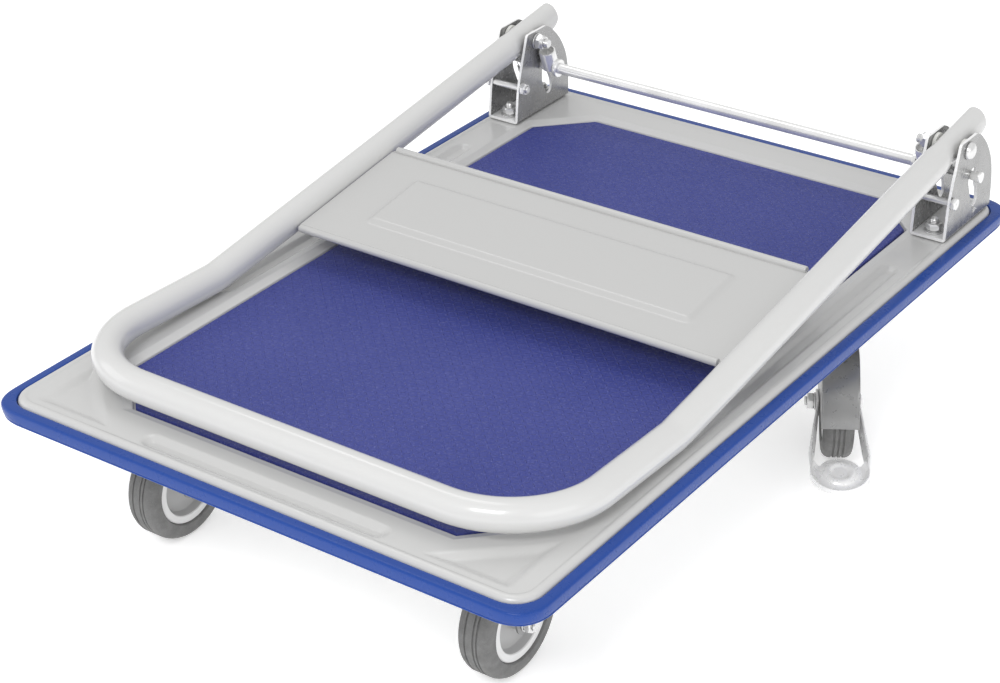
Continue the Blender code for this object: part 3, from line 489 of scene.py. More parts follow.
# ---- deck, mat, bumper ---------------------------------------------------------------------------
def plan_places(step=2.15):
    """Places round the deck: each side and each corner of the mat's octagon in turn, cut into steps."""
    out = []
    for q in range(4):
        side = 2 * ((MAT_Y if q % 2 == 0 else MAT_X) - MAT_CH)
        for kind, length in (("side", side), ("corner", 66.0)):
            n = round(length / step)
            out += [(kind, q, k / n) for k in range(n)]
    return out


def turned(q, x, y):
    """Quarter turns of a point."""
    return [(x, y), (-y, x), (-x, -y), (y, -x)][q]


def outer_at(kind, q, t, d):
    """Point of the rounded rectangle drawn in by d, for a place on the plan."""
    ax, ay = (DECK_X, DECK_Y) if q % 2 == 0 else (DECK_Y, DECK_X)
    bx, by = (MAT_X, MAT_Y) if q % 2 == 0 else (MAT_Y, MAT_X)
    xc, yc = [(0, MAT_YC), (MAT_YC, 0), (0, -MAT_YC), (-MAT_YC, 0)][q]
    y0 = -(by - MAT_CH) + yc
    y1 = (by - MAT_CH) + yc
    if kind == "side":
        return turned(q, ax - d, y0 + (y1 - y0) * t)
    r = max(DECK_R - d, 0.0)
    x1 = (bx - MAT_CH) + xc
    a = ay - DECK_R - y1
    b = ax - DECK_R - x1
    arc = math.pi / 2 * r
    s = t * (a + b + arc)
    if s < a:
        return turned(q, ax - d, y1 + s)
    if s < a + arc:
        w = (s - a) / r
        return turned(q, ax - DECK_R + r * math.cos(w), ay - DECK_R + r * math.sin(w))
    return turned(q, ax - DECK_R - (s - a - arc), ay - d)


def inner_at(kind, q, t, g):
    """Point of the mat's octagon grown by g."""
    bx, by = (MAT_X + g, MAT_Y + g) if q % 2 == 0 else (MAT_Y + g, MAT_X + g)
    ch = MAT_CH + g * (2 - math.sqrt(2))
    xc, yc = [(0, MAT_YC), (MAT_YC, 0), (0, -MAT_YC), (-MAT_YC, 0)][q]
    y0, y1 = -(by - ch) + yc, (by - ch) + yc
    if kind == "side":
        return turned(q, bx + xc, y0 + (y1 - y0) * t)
    return turned(q, bx + xc - ch * t, y1 + ch * t)


def inside_tri(x, y, pts):
    """Distance inside a convex outline given anticlockwise; negative outside."""
    d = 1e9
    for (ax, ay), (bx, by) in zip(pts, pts[1:] + pts[:1]):
        ex, ey = bx - ax, by - ay
        d = min(d, (ex * (y - ay) - ey * (x - ax)) / math.hypot(ex, ey))
    return d


def pressed(x, y):
    """Depth of the border's pressings at a place."""
    ax = abs(x)
    depth = PRESS * wall(inside_tri(ax, y, PRESSED_CORNER) / CORNER_WALL)
    for cx, cy, hx, hy in PRESSED_SLOTS:
        px, py = (x if cx == 0 else ax) - cx, y - cy
        qx, qy = max(abs(px) - (hx - SLOT_R), 0), max(abs(py) - (hy - SLOT_R), 0)
        depth = max(depth, PRESS * wall((SLOT_R - math.hypot(qx, qy)) / SLOT_WALL))
    return depth


def deck():
    """Rolled rim with a low bead, border with shallow pressings, sloped wall and recessed floor."""
    plan = plan_places()
    rings = []
    rim = [(0.0, DECK_LOW), (0.0, DECK_LOW + 5.0), (0.0, DECK_TOP - RIM_EDGE)]
    for k in range(1, 8):
        a = math.radians(90 * k / 8)
        rim.append((RIM_EDGE * (1 - math.cos(a)), DECK_TOP - RIM_EDGE + RIM_EDGE * math.sin(a)))
    flat = DECK_TOP - 0.85
    rim += [(5.2, DECK_TOP), (6.0, DECK_TOP - 0.06), (6.8, DECK_TOP - 0.4), (7.6, flat + 0.08)]
    rim += [(BEAD_END, flat)]
    for d, z in rim:
        rings.append([(*outer_at(*p, d), z) for p in plan])
    n = 27
    for k in range(1, n):
        f = k / n
        ring = []
        for p in plan:
            a, b = outer_at(*p, BEAD_END), inner_at(*p, SLOPE_TOP)
            x, y = a[0] + (b[0] - a[0]) * f, a[1] + (b[1] - a[1]) * f
            ring.append((x, y, flat - pressed(x, y)))
        rings.append(ring)
    slope = [(SLOPE_TOP, flat), (9.9, flat - 0.05), (9.1, flat - 0.3), (8.3, flat - 0.75),
             (3.4, MAT_TOP + 0.5), (2.5, MAT_TOP + 0.1), (2.1, MAT_TOP - 0.5), (1.9, FLOOR_Z + 0.4),
             (1.8, FLOOR_Z)]
    for g, z in slope:
        rings.append([(*inner_at(*p, g), z) for p in plan])
    ob = loft("deck", rings, caps=False)
    bm = bmesh.new()
    bm.from_mesh(ob.data)
    open_edges = [e for e in bm.edges if e.is_boundary]
    low = [e for e in open_edges if all(abs(v.co.z - FLOOR_Z * MM) < 1e-6 for v in e.verts)]
    bmesh.ops.edgeloop_fill(bm, edges=low)
    bmesh.ops.recalc_face_normals(bm, faces=bm.faces)
    if sum(f.normal.z * f.calc_area() for f in bm.faces) < 0:
        bmesh.ops.reverse_faces(bm, faces=bm.faces)
    bm.to_mesh(ob.data)
    bm.free()
    mod = ob.modifiers.new("sheet", 'SOLIDIFY')
    mod.thickness = SHEET * MM
    mod.offset = -1.0
    done(to_mesh(ob), "deck_pan", "deck", 40.0)


def mat():
    plan = plan_places(12.0)
    side = [(0.0, FLOOR_Z + 0.1), (0.05, MAT_TOP - 0.9), (-0.15, MAT_TOP - 0.35), (-0.55, MAT_TOP - 0.05),
            (-1.1, MAT_TOP)]
    rings = [[(*inner_at(*p, g), z) for p in plan] for g, z in side]
    done(loft("mat", rings), "deck_mat", "mat", 60.0)


def bumper():
    """Edge strip with a seam low on its face, fuller at the corners; points are (out, z, corner bulge)."""
    t, lo, hi = BUMP_T, BUMP_Z0, BUMP_Z1
    prof = [(0.3, lo, 0), (0.3, hi - 3.0, 0), (0.7, hi - 1.6, 0), (1.0, hi - 0.3, 0)]
    face = [(1.25, hi, 0), (4.0, hi, 1.4), (t - 2.0, hi - 0.25, 2.7), (t - 0.8, hi - 0.75, 3.1),
            (t - 0.15, hi - 1.7, 3.3), (t, hi - 3.6, 3.4), (t - 0.1, lo + 4.6, 2.9),
            (t - 0.35, lo + 2.5, 2.4), (t - 0.7, lo + 2.0, 2.1), (t - 0.2, lo + 1.3, 2.0),
            (t - 0.5, lo + 0.5, 1.6), (t - 1.4, lo + 0.05, 1.2), (t - 3.2, lo, 0.8)]
    prof += spline(face, 4)[1:]
    rings = []
    for sx, sy, a0 in ((1, 1, 0), (-1, 1, 90), (-1, -1, 180), (1, -1, 270)):
        cx, cy = (DECK_X - DECK_R) * sx, (DECK_Y - DECK_R) * sy
        for k in range(25):
            a = math.radians(a0 + 3.75 * k)
            w = math.sin(math.radians(7.5 * k)) ** 2
            ring = []
            for o, z, g in prof:
                r = DECK_R + o + w * g
                ring.append((cx + r * math.cos(a), cy + r * math.sin(a), z))
            rings.append(ring)
    done(loft("bumper", rings, closed=True), "bumper", "bumper", 50.0)


# ---- handle --------------------------------------------------------------------------------------
def handle_path():
    """Centre line of the tube, and the direction of its long legs from the pivot to the kink."""
    piv = Vector((HANDLE_X, PIVOT_Y, PIVOT_Z))
    kink = Vector((HANDLE_X, KINK_Y, KINK_Z))
    corner = Vector((HANDLE_X, FRONT_Y, FRONT_Z))
    u = (kink - piv).normalized()
    w = (corner - kink).normalized()
    pts = [piv + u * (-STUB + 2.5 * k) for k in range(43)]
    bend = u.angle(w)
    start = kink - u * (KINK_R * math.tan(bend / 2))
    pts += [pts[-1].lerp(start, k / 12) for k in range(1, 12)]
    side = (w - u * w.dot(u)).normalized()
    for k in range(9):
        a = bend * k / 8
        pts.append(start + side * KINK_R - side * KINK_R * math.cos(a) + u * KINK_R * math.sin(a))
    turn_in = corner - w * CORNER_R
    pts += [pts[-1].lerp(turn_in, k / 4) for k in range(1, 4)]
    c = turn_in + Vector((-CORNER_R, 0, 0))
    for k in range(25):
        a = math.radians(90 * k / 24)
        pts.append(c + Vector((CORNER_R * math.cos(a), 0, 0)) + w * CORNER_R * math.sin(a))
    mid = [pts[-1].lerp(Vector((-pts[-1].x, pts[-1].y, pts[-1].z)), k / 16) for k in range(1, 16)]
    return pts + mid + [Vector((-p.x, p.y, p.z)) for p in reversed(pts)], piv, u


def handle_tube():
    """Bent tube, pressed flat between the bracket's flanges, with its stubs trimmed round the bracket."""
    path, piv, u = handle_path()
    tube = wire("tube", path, TUBE_R, 14, caps=False)
    up = Vector((-1, 0, 0)).cross(u)
    for v in tube.data.vertices:
        q = v.co / MM
        across = Vector((HANDLE_X, q.y, q.z))
        t = (across - piv).dot(u)
        if t < 60:
            f = ease((34.0 - t) / 22.0)
            c = piv + u * t
            h = (across - c).dot(up)
            x = math.copysign(HANDLE_X, q.x)
            dx = q.x - x
            kx = 1 + (FLAT_X / TUBE_R - 1) * f
            kz = 1 + (FLAT_Z / TUBE_R - 1) * f
            v.co = Vector((x + dx * kx, c.y + up.y * h * kz, c.z + up.z * h * kz)) * MM
    mod = tube.modifiers.new("wall", 'SOLIDIFY')
    mod.thickness = TUBE_WALL * MM
    mod.offset = -1.0
    tube = to_mesh(tube)
    p = Vector((PIVOT_Y, PIVOT_Z))
    a = (p - Vector((KINK_Y, KINK_Z))).normalized()
    b = Vector((a.y, -a.x))
    trim = [(80, 1), (STUB - 0.3, 1), (42, 6), (35.5, 14), (36, 25), (80, 25)]
    cut(tube, [slab("trim", [tuple(p + a * j + b * k) for j, k in trim], "X", -250, 250)])
    done(tube, "handle_tube", "handle", 40.0)


def handle_panel():
    """Sheet with rolled hems and a soft raised field, built flat and tilted to the side tubes."""
    hx, hy = HANDLE_X - TUBE_R - 1.3, PANEL_W / 2
    bm = bmesh.new()
    nx, ny = 260, 90
    rows = []
    for j in range(ny + 1):
        y = -hy + 4.0 + (PANEL_W - 8.0) * j / ny
        row = []
        for i in range(nx + 1):
            x = -hx + 2 * hx * i / nx
            qx, qy = abs(x) - FIELD_X, abs(y) - FIELD_Y
            d = math.hypot(max(qx, 0), max(qy, 0)) + min(max(qx, qy), 0) - 6.0
            z = FIELD_H * wall(-d / FIELD_WALL) + PANEL_T / 2
            z -= 0.7 * ease((abs(y) - (hy - 8)) / 3)
            row.append(bm.verts.new((x * MM, y * MM, z * MM)))
        rows.append(row)
    for j in range(ny):
        for i in range(nx):
            bm.faces.new((rows[j][i], rows[j][i + 1], rows[j + 1][i + 1], rows[j + 1][i]))
    sheet = from_bm("sheet", bm)
    mod = sheet.modifiers.new("wall", 'SOLIDIFY')
    mod.thickness = PANEL_T * MM
    mod.offset = -1.0
    parts = [to_mesh(sheet)]
    end = [(0.0, hx - 3.0), (HEM_R - 0.5, hx - 3.0), (HEM_R - 0.15, hx - 3.3), (HEM_R, hx - 3.9)]
    hem = [(r, -x) for r, x in end] + list(reversed(end))
    for s, h0 in ((-1, 0.0), (1, 0.6)):
        parts.append(lathe("hem", hem, 40, "X", (0, s * (hy - HEM_R), h0), closed=False))
    ob = merge("panel", parts)
    ang = math.atan2(PIVOT_Z - KINK_Z, PIVOT_Y - KINK_Y)
    zc = KINK_Z + (PANEL_YC - KINK_Y) * math.tan(ang) - 0.4
    ob.data.transform(Matrix.Translation(Vector((0, PANEL_YC, zc)) * MM) @ Matrix.Rotation(ang, 4, 'X'))
    done(ob, "handle_panel", "panel", 40.0)


# ---- brackets, lock bar, springs -----------------------------------------------------------------
def slot_outline():
    """The bracket's curved slot, with its notch at the top."""
    pts = [(302.3, 189.4), (302.0, 184.0), (303.6, 177.6), (306.6, 170.6), (309.6, 164.0), (312.0, 159.6),
           (314.6, 156.6), (318.8, 156.9), (321.4, 160.6), (321.4, 165.4), (320.0, 171.0), (316.6, 178.0),
           (314.4, 184.0), (314.8, 188.0), (316.4, 191.4), (314.6, 194.2), (309.0, 194.8), (304.6, 193.0)]
    return spline(pts, 4, True)


def bracket(side):
    """U of bent sheet: two flanges cut to one outline, a web between them, rounded bends and holes."""
    s = 1 if side == "R" else -1
    front = [(264.6, BRK_Z0), (267.6, 172.0), (272.0, 191.0), (277.5, 208.0), (283.0, 225.6)]
    back = [(312.5, 225.6), (318.6, 222.6), (323.5, 218.8), (335.5, 206.2), (345.2, 189.4), (349.2, 173.0),
            (350.2, 158.0), (349.8, BRK_Z0)]
    crest = fillet([(281.6, 221.0), (283.0, 225.6), (312.5, 225.6), (318.6, 222.6)],
                   [0, 3.0, 4.0, 0], 8)[1:-1]
    out = spline(front[:-1] + [(281.4, 220.6)], 5) + crest + spline(back[1:], 5)
    base = slab("bracket", out, "X", *sorted((s * BRK_X0, s * BRK_X1)))
    floor = BRK_Z0 + BRK_T
    inside = [(240, floor), (380, floor), (380, 260), (240, 260)]
    tools = [slab("inside", inside, "X", *sorted((s * (BRK_X0 + BRK_T), s * (BRK_X1 - BRK_T))))]
    for e, k in ((BRK_X0, -1), (BRK_X1, 1)):
        bend = []
        for i in range(9):
            a = math.radians(90 * i / 8)
            bend.append((s * (e - k * BRK_BEND * (1 - math.sin(a))), BRK_Z0 + BRK_BEND * (1 - math.cos(a))))
        bend += [(s * (e + k), BRK_Z0 + BRK_BEND), (s * (e + k), BRK_Z0 - 1),
                 (s * (e - k * BRK_BEND), BRK_Z0 - 1)]
        tools.append(slab("bend", bend, "Y", 240, 380))
    through, anchor = sorted((s * 190, s * 250)), circle(SPRING_LOW[0], SPRING_LOW[1] - 1.2, 2.6, 20)
    tools.append(slab("pivot", circle(PIVOT_Y, PIVOT_Z, 4.15), "X", *through))
    tools.append(slab("stop", circle(STOP_Y, STOP_Z, 3.15), "X", *through))
    tools.append(slab("slot", slot_outline(), "X", *through))
    tools.append(slab("anchor", anchor, "X", *sorted((s * 230, s * 250))))
    for y in WEB_BOLT_Y:
        tools.append(slab("web", circle(s * HANDLE_X, y, 4.3), "Z", 135, 150))
    cut(base, tools)
    # faces that do not face sideways (cut edges, crest, web) take the near-white copy: a painted highlight
    # against the darker flanges
    done(base, "bracket_" + side, "steel", 30.0, extra=("edge", lambda p: abs(p.normal.x) < 0.5))


def lock_bar():
    """Round bar with collars, reduced ends with upset heads, and two upright sleeves."""
    half = [(BAR_R, 184.4), (8.2, 184.4), (8.6, 184.8), (8.6, 187.6), (8.2, 188.0), (BAR_R, 188.0),
            (BAR_R, 202.1), (BAR_END_R + 0.6, 202.5), (BAR_END_R, 202.6), (BAR_END_R, 240.8), (4.7, 243.2),
            (4.9, 245.9), (4.6, 246.7), (4.0, 247.0), (0.0, 247.0)]
    whole = [(r, -h) for r, h in reversed(half)] + half
    parts = [lathe("bar", whole, 40, "X", (0, BAR_Y, BAR_Z), closed=False)]
    u = Vector((0, PIVOT_Y - BAR_Y, PIVOT_Z - BAR_Z)).normalized()
    sleeve = [(0.0, -1.0), (7.2, -1.0), (7.8, -0.4), (7.8, 18.5), (7.5, 19.0), (6.8, 19.0), (6.4, 18.5),
              (6.4, 6.0), (0.0, 6.0)]
    for s in (-1, 1):
        parts.append(lathe("sleeve", sleeve, 40, u, (s * 194.6, BAR_Y, BAR_Z), closed=False))
    done(merge("bar", parts), "lock_bar", "bar")


def lock_spring(side):
    """Tension spring from the bar's end down to a hook that leaves through the flange's anchor hole."""
    s = 1 if side == "R" else -1
    x = s * HOOK_X
    top = Vector((x, BAR_Y, BAR_Z - BAR_END_R - 1.0))
    low = Vector((x, SPRING_LOW[0], SPRING_LOW[1] + 1.2))
    t = (low - top).normalized()
    e1 = Vector((1, 0, 0))
    e2 = t.cross(e1).normalized()
    length = (low - top).length
    path = [Vector((x, BAR_Y, BAR_Z + BAR_END_R + 2.0)), top, top + t * 2.0]
    turns, steps, r = 18, 14, 0.95
    for k in range(turns * steps + 1):
        a = 2 * math.pi * k / steps
        h = 3.5 + (length - 8.5) * k / (turns * steps)
        path.append(top + t * h + (e1 * math.cos(a) + e2 * math.sin(a)) * r)
    out = e1 * s
    path += [low - t * 3.0, low - t * 1.0 + out * 0.4, low + t * 0.8 + out * 2.2, low + t * 1.0 + out * 6.6]
    ob = wire("spring", path, 0.42, 3)
    ob.data.materials.append(M["zinc"])
    ob.data.shade_smooth()
    ob.name = "look_lock_spring_" + side
    ob.data.name = ob.name
    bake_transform(ob)
    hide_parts("lock_spring_" + side)


# ---- fasteners -----------------------------------------------------------------------------------
def nut(name, flat, thick, bore, axis, at, centre):
    """Hexagon nut with chamfered corners, from at to at + thick along the axis through centre.

    flat is half the width across the flats.
    """
    n = 60
    t = abs(thick)
    chamfer = [(0.0, flat * 0.93), (0.25, flat * 0.985), (0.8, flat * 1.06), (1.5, flat * 1.17),
               (2.0, flat * 2)]
    levels = chamfer + [(t - h, r) for h, r in reversed(chamfer)]

    def ring(r, h, hexed=True):
        out = []
        for k in range(n):
            a = 2 * math.pi * k / n
            b = (a + math.pi / 6) % (math.pi / 3) - math.pi / 6
            rr = min(r, flat / math.cos(b)) if hexed else r
            out.append((rr * math.cos(a), rr * math.sin(a), h))
        return out

    rings = [ring(bore, 0.3, False), ring(bore + 0.5, 0.0, False)] + [ring(r, h) for h, r in levels]
    rings += [ring(bore + 0.5, t, False), ring(bore, t - 0.3, False)]
    ob = loft(name, rings, closed=True)
    d = Vector([float(axis == k) for k in "XYZ"])
    flip = Matrix.Identity(4) if thick > 0 else Matrix.Rotation(math.pi, 4, 'X')
    up = turn_to(axis) @ (Matrix.Rotation(math.pi, 4, 'X') if axis == "Y" else Matrix.Identity(4))
    ob.data.transform(Matrix.Translation((Vector(centre) + d * at) * MM) @ up @ flip)
    return ob


def bolt_profile(r, start, end, pitch=1.25, deep=0.34):
    """(radius, height) points of a threaded stud between two heights, in steps of its pitch."""
    out = []
    n = max(1, int(abs(end - start) / pitch))
    d = (end - start) / n
    for k in range(n):
        out += [(r - deep, start + d * k), (r, start + d * (k + 0.5))]
    return out + [(r - deep, end)]


def washer(name, r, bore, a, b, axis, centre):
    a, b = min(a, b), max(a, b)
    prof = [(bore, a), (bore, b), (r - 0.25, b), (r, b - 0.25), (r, a + 0.25), (r - 0.25, a)]
    return lathe(name, prof, 48, axis, centre)


def pivot_set(side):
    s = 1 if side == "R" else -1
    x = BRK_X1 + 0.15
    c = (0, PIVOT_Y, PIVOT_Z)
    prof = [(0.0, 189.9)] + bolt_profile(4.0, 190.0, 198.0)
    prof += [(4.0, 200.0), (4.0, x), (7.6, x), (7.8, x + 0.3)]
    prof += [(7.8, x + 1.2), (7.5, x + 2.1), (6.8, x + 3.1), (5.6, x + 4.1), (4.0, x + 4.9), (2.0, x + 5.3),
             (0.0, x + 5.4)]
    bolt = lathe("bolt", [(r, s * h) for r, h in prof], 48, "X", c, closed=False)
    done(bolt, "pivot_bolt_" + side, "zinc", 35.0)
    f = s * (BRK_X0 - 0.15)
    parts = [washer("w", 7.6, 4.2, f, f - s * 1.4, "X", c),
             nut("n", NUT_M8, -s * 6.5, 4.2, "X", f - s * 1.45, c)]
    a = f - s * 7.6
    collar = [(4.2, a), (6.1, a), (6.1, a - s * 1.5), (5.6, a - s * 2.0), (4.2, a - s * 2.0)]
    parts.append(lathe("collar", collar, 48, "X", c))
    done(merge("nut", parts), "pivot_nut_" + side, "zinc", 28.0)
    gaps = {"in": (BRK_X0 + BRK_T + 0.2, HANDLE_X - FLAT_X - 0.25),
            "out": (HANDLE_X + FLAT_X + 0.25, BRK_X1 - BRK_T - 0.2)}
    for where, (x0, x1) in gaps.items():
        prof = [(4.15, x0), (8.7, x0), (9.0, x0 + 0.3), (9.0, x1 - 0.3), (8.7, x1), (4.15, x1)]
        spacer = lathe("spacer", [(r, s * h) for r, h in prof], 48, "X", c)
        done(spacer, "pivot_spacer_%s_%s" % (where, side), "nylon")


def stop_set(side):
    s = 1 if side == "R" else -1
    x = BRK_X1 + 0.15
    c = (0, STOP_Y, STOP_Z)
    prof = [(0.0, BRK_X0 - 8.2)] + bolt_profile(3.0, BRK_X0 - 8.1, BRK_X0 - 1.0, 1.0, 0.28)
    prof += [(3.0, BRK_X0 + 1.0), (3.0, x + 0.5), (0.0, x + 0.5)]
    shank = lathe("shank", [(r, s * h) for r, h in prof], 32, "X", c, closed=False)
    parts = [shank, nut("head", NUT_M6, s * 4.2, 0.4, "X", s * x, c)]
    done(merge("stop", parts), "stop_bolt_" + side, "zinc", 28.0)
    f = s * (BRK_X0 - 0.15)
    parts = [washer("w", 5.4, 3.1, f, f - s * 1.0, "X", c),
             nut("n", NUT_M6, -s * 5.0, 3.1, "X", f - s * 1.05, c)]
    done(merge("nut", parts), "stop_nut_" + side, "zinc", 28.0)


def web_set(side, k):
    s = 1 if side == "R" else -1
    c = (s * HANDLE_X, WEB_BOLT_Y[k], 0)
    top = DECK_TOP - SHEET - 0.2
    z = BRK_Z0 + BRK_T + 0.1
    prof = [(0.0, top - 1.0), (4.0, top - 1.0), (4.0, z + 7.0)] + bolt_profile(4.0, z + 7.2, BRK_Z0 + 14.0)
    prof += [(3.2, BRK_Z0 + 14.6), (0.0, BRK_Z0 + 14.6)]
    parts = [lathe("shank", prof, 40, "Z", c, closed=False), nut("head", NUT_M8, -5.2, 0.4, "Z", top, c)]
    done(merge("web", parts), "web_bolt_%s%d" % (side, k + 1), "zinc", 28.0)
    parts = [washer("w", 8.5, 4.2, z, z + 1.0, "Z", c), washer("v", 7.0, 4.2, z + 1.05, z + 1.75, "Z", c),
             nut("n", NUT_M8, 6.4, 4.1, "Z", z + 1.8, c)]
    done(merge("nut", parts), "web_nut_%s%d" % (side, k + 1), "zinc", 28.0)


# ---- wheels and casters --------------------------------------------------------------------------
def wheel(tag, centre, turn, w, grooves):
    """Tyre of half width w with grooves at the given places, on a dished rim with a pale outer ring."""
    r = WHEEL_R
    half = [(RIM_R + 0.25, w - 2.2), (RIM_R + 0.45, w - 0.7), (RIM_R + 1.2, w), (r - 8.0, w),
            (r - 5.4, w - 0.25), (r - 3.2, w - 1.1), (r - 1.5, w - 2.7), (r - 0.5, w - 4.6)]
    groove = [(0.02, 0.85), (1.0, 0.5), (1.1, 0.0), (1.0, -0.5), (0.02, -0.85)]
    tread = [(r - d, h + g) for h in sorted(grooves, reverse=True) for d, g in groove]
    prof = half + [(r, w - 6.4)] + tread + [(r, -(w - 6.4))] + [(a, -b) for a, b in reversed(half)]
    done(lathe("tyre", prof, 120, "Y"), "tyre_" + tag, "tyre", 40.0, turn, centre)
    side = [(4.15, w + 0.3), (7.6, w + 0.3), (8.2, w - 0.2), (8.7, 7.4), (9.8, 5.9), (12.0, 5.4), (22.0, 5.0),
            (24.4, 5.6), (25.6, 7.4), (26.4, w - 2.6), (27.0, w - 1.8), (27.8, w - 1.6), (32.4, w - 1.6),
            (RIM_R, w - 2.1)]
    rim = lathe("rim", side + [(a, -b) for a, b in reversed(side)], 96, "Y")
    mask = [math.hypot(p.center.x, p.center.z) > 26.6 * MM for p in rim.data.polygons]
    done(rim, "wheel_rim_" + tag, "rim", 35.0, turn, centre)
    rim.data.materials.append(M["rim_face"])
    for p, pale in zip(rim.data.polygons, mask):
        p.material_index = int(pale)


def axle(tag, centre, turn, reach):
    a, b = -reach - 9.2, -reach - 7.0
    prof = [(0.0, a), (3.4, a)] + bolt_profile(4.0, a + 0.3, b - 0.2)
    prof += [(4.0, b + 1.0), (4.0, reach), (7.2, reach), (7.4, reach + 0.3), (7.4, reach + 0.9),
             (6.6, reach + 1.7), (5.0, reach + 2.35), (2.5, reach + 2.6), (0.0, reach + 2.6)]
    done(lathe("axle", prof, 40, "Y", closed=False), "axle_bolt_" + tag, "zinc", 32.0, turn, centre)
    parts = [nut("n", NUT_M8, -5.7, 4.1, "Y", -reach - 1.25, (0, 0, 0)),
             washer("w", 7.4, 4.2, -reach - 0.1, -reach - 1.2, "Y", (0, 0, 0))]
    done(merge("nut", parts), "axle_nut_" + tag, "zinc", 28.0, turn, centre)


def mounting_plate(cx, cy):
    parts = [slab("plate", rect(33, 45, 6, 8, cx, cy), "Z", PLATE_TOP - 2.5, PLATE_TOP, 0.35)]
    for i in (-1, 1):
        for j in (-1, 1):
            c = (cx + i * 24.0, cy + j * 35.0, 0)
            prof = [(0.0, PLATE_TOP - 8.5)] + bolt_profile(3.5, PLATE_TOP - 8.4, PLATE_TOP - 6.0, 1.0, 0.3)
            prof += [(3.5, FLOOR_Z - 2.3), (0.0, FLOOR_Z - 2.3)]
            parts.append(lathe("stud", prof, 24, "Z", c, closed=False))
            parts.append(nut("n", NUT_M7, 5.0, 3.4, "Z", PLATE_TOP - 7.5, c))
    return parts


def rigid_caster(side):
    s = 1 if side == "R" else -1
    cx, cy, zc = s * FRONT_CX, FRONT_CY, WHEEL_R
    parts = mounting_plate(cx, cy)
    leg = fillet([(cy - 27, PLATE_TOP - 1.0), (cy - 9.5, zc - 9), (cy + 9.5, zc - 9),
                  (cy + 27, PLATE_TOP - 1.0)], [0, 8.5, 8.5, 0], 12)
    for k in (-1, 1):
        parts.append(slab("leg", leg, "X", *sorted((cx + k * 14.6, cx + k * 16.4)), 0.3))
    done(merge("fork", parts), "rigid_fork_" + side, "fork", 28.0)
    wheel("F" + side, (cx, cy, zc), 90.0, WHEEL_F, (-5.2, -2.0, 5.2))
    axle("F" + side, (cx, cy, zc), 90.0, 16.6)


def hood_section():
    """Half sections of the hood, (y, radius): the outer skin one way, then the inner skin back."""
    n = 10
    turns = [math.radians(90 * k / n) for k in range(n + 1)]
    skins = [[(LEG_OUT - 2.2 * (1 - math.cos(w)), HOOD_R - 2.2 * (1 - math.sin(w))) for w in turns],
             [(LEG_IN - 1.0 * (1 - math.cos(w)), HOOD_IN - 1.0 * (1 - math.sin(w))) for w in turns]]
    outer, inner = [pts + [(-y, q) for y, q in reversed(pts)] for pts in skins]
    return outer + list(reversed(inner))


def swivel_fork(side, turn, centre):
    """Crown and bearing race under the plate, two legs, and the hood that joins them over the wheel."""
    zc, u = WHEEL_R, TRAIL
    parts = [slab("crown", rect(27, LEG_OUT, 3, 6, 3, 0), "Z", 103.0, 106.0, 0.8, 3)]
    race = [(6.3, 105.5), (6.3, 119.7), (21.6, 119.7), (23.0, 118.6), (23.0, 109.0), (21.4, 106.4),
            (21.0, 105.5)]
    parts.append(lathe("race", race, 72, "Z"))
    hood = arc(u, zc, HOOD_R, range(4, 97, 4))
    back = spline([(-24, 96.0), (-4, 78.0), (u - 14, zc - 3.0)], 8)
    out = spline([(u + 9.5, zc - 9.0), (u + 14.0, zc), hood[0]], 6)[:-1] + hood
    out += [(u + 2, zc + 55), (30, 106.0), (-24, 106.0)] + back + arc(u, zc, 12.5, range(205, 320, 10))
    for k in (-1, 1):
        parts.append(slab("leg", out, "Y", *sorted((k * LEG_IN, k * LEG_OUT)), 0.5))
    rings = []
    for a in range(4, 98, 3):
        t = math.radians(a)
        rings.append([(u + q * math.cos(t), y, zc + q * math.sin(t)) for y, q in hood_section()])
    parts.append(loft("hood", rings))
    done(merge("fork", parts), "swivel_fork_" + side, "fork", 30.0, turn, centre)


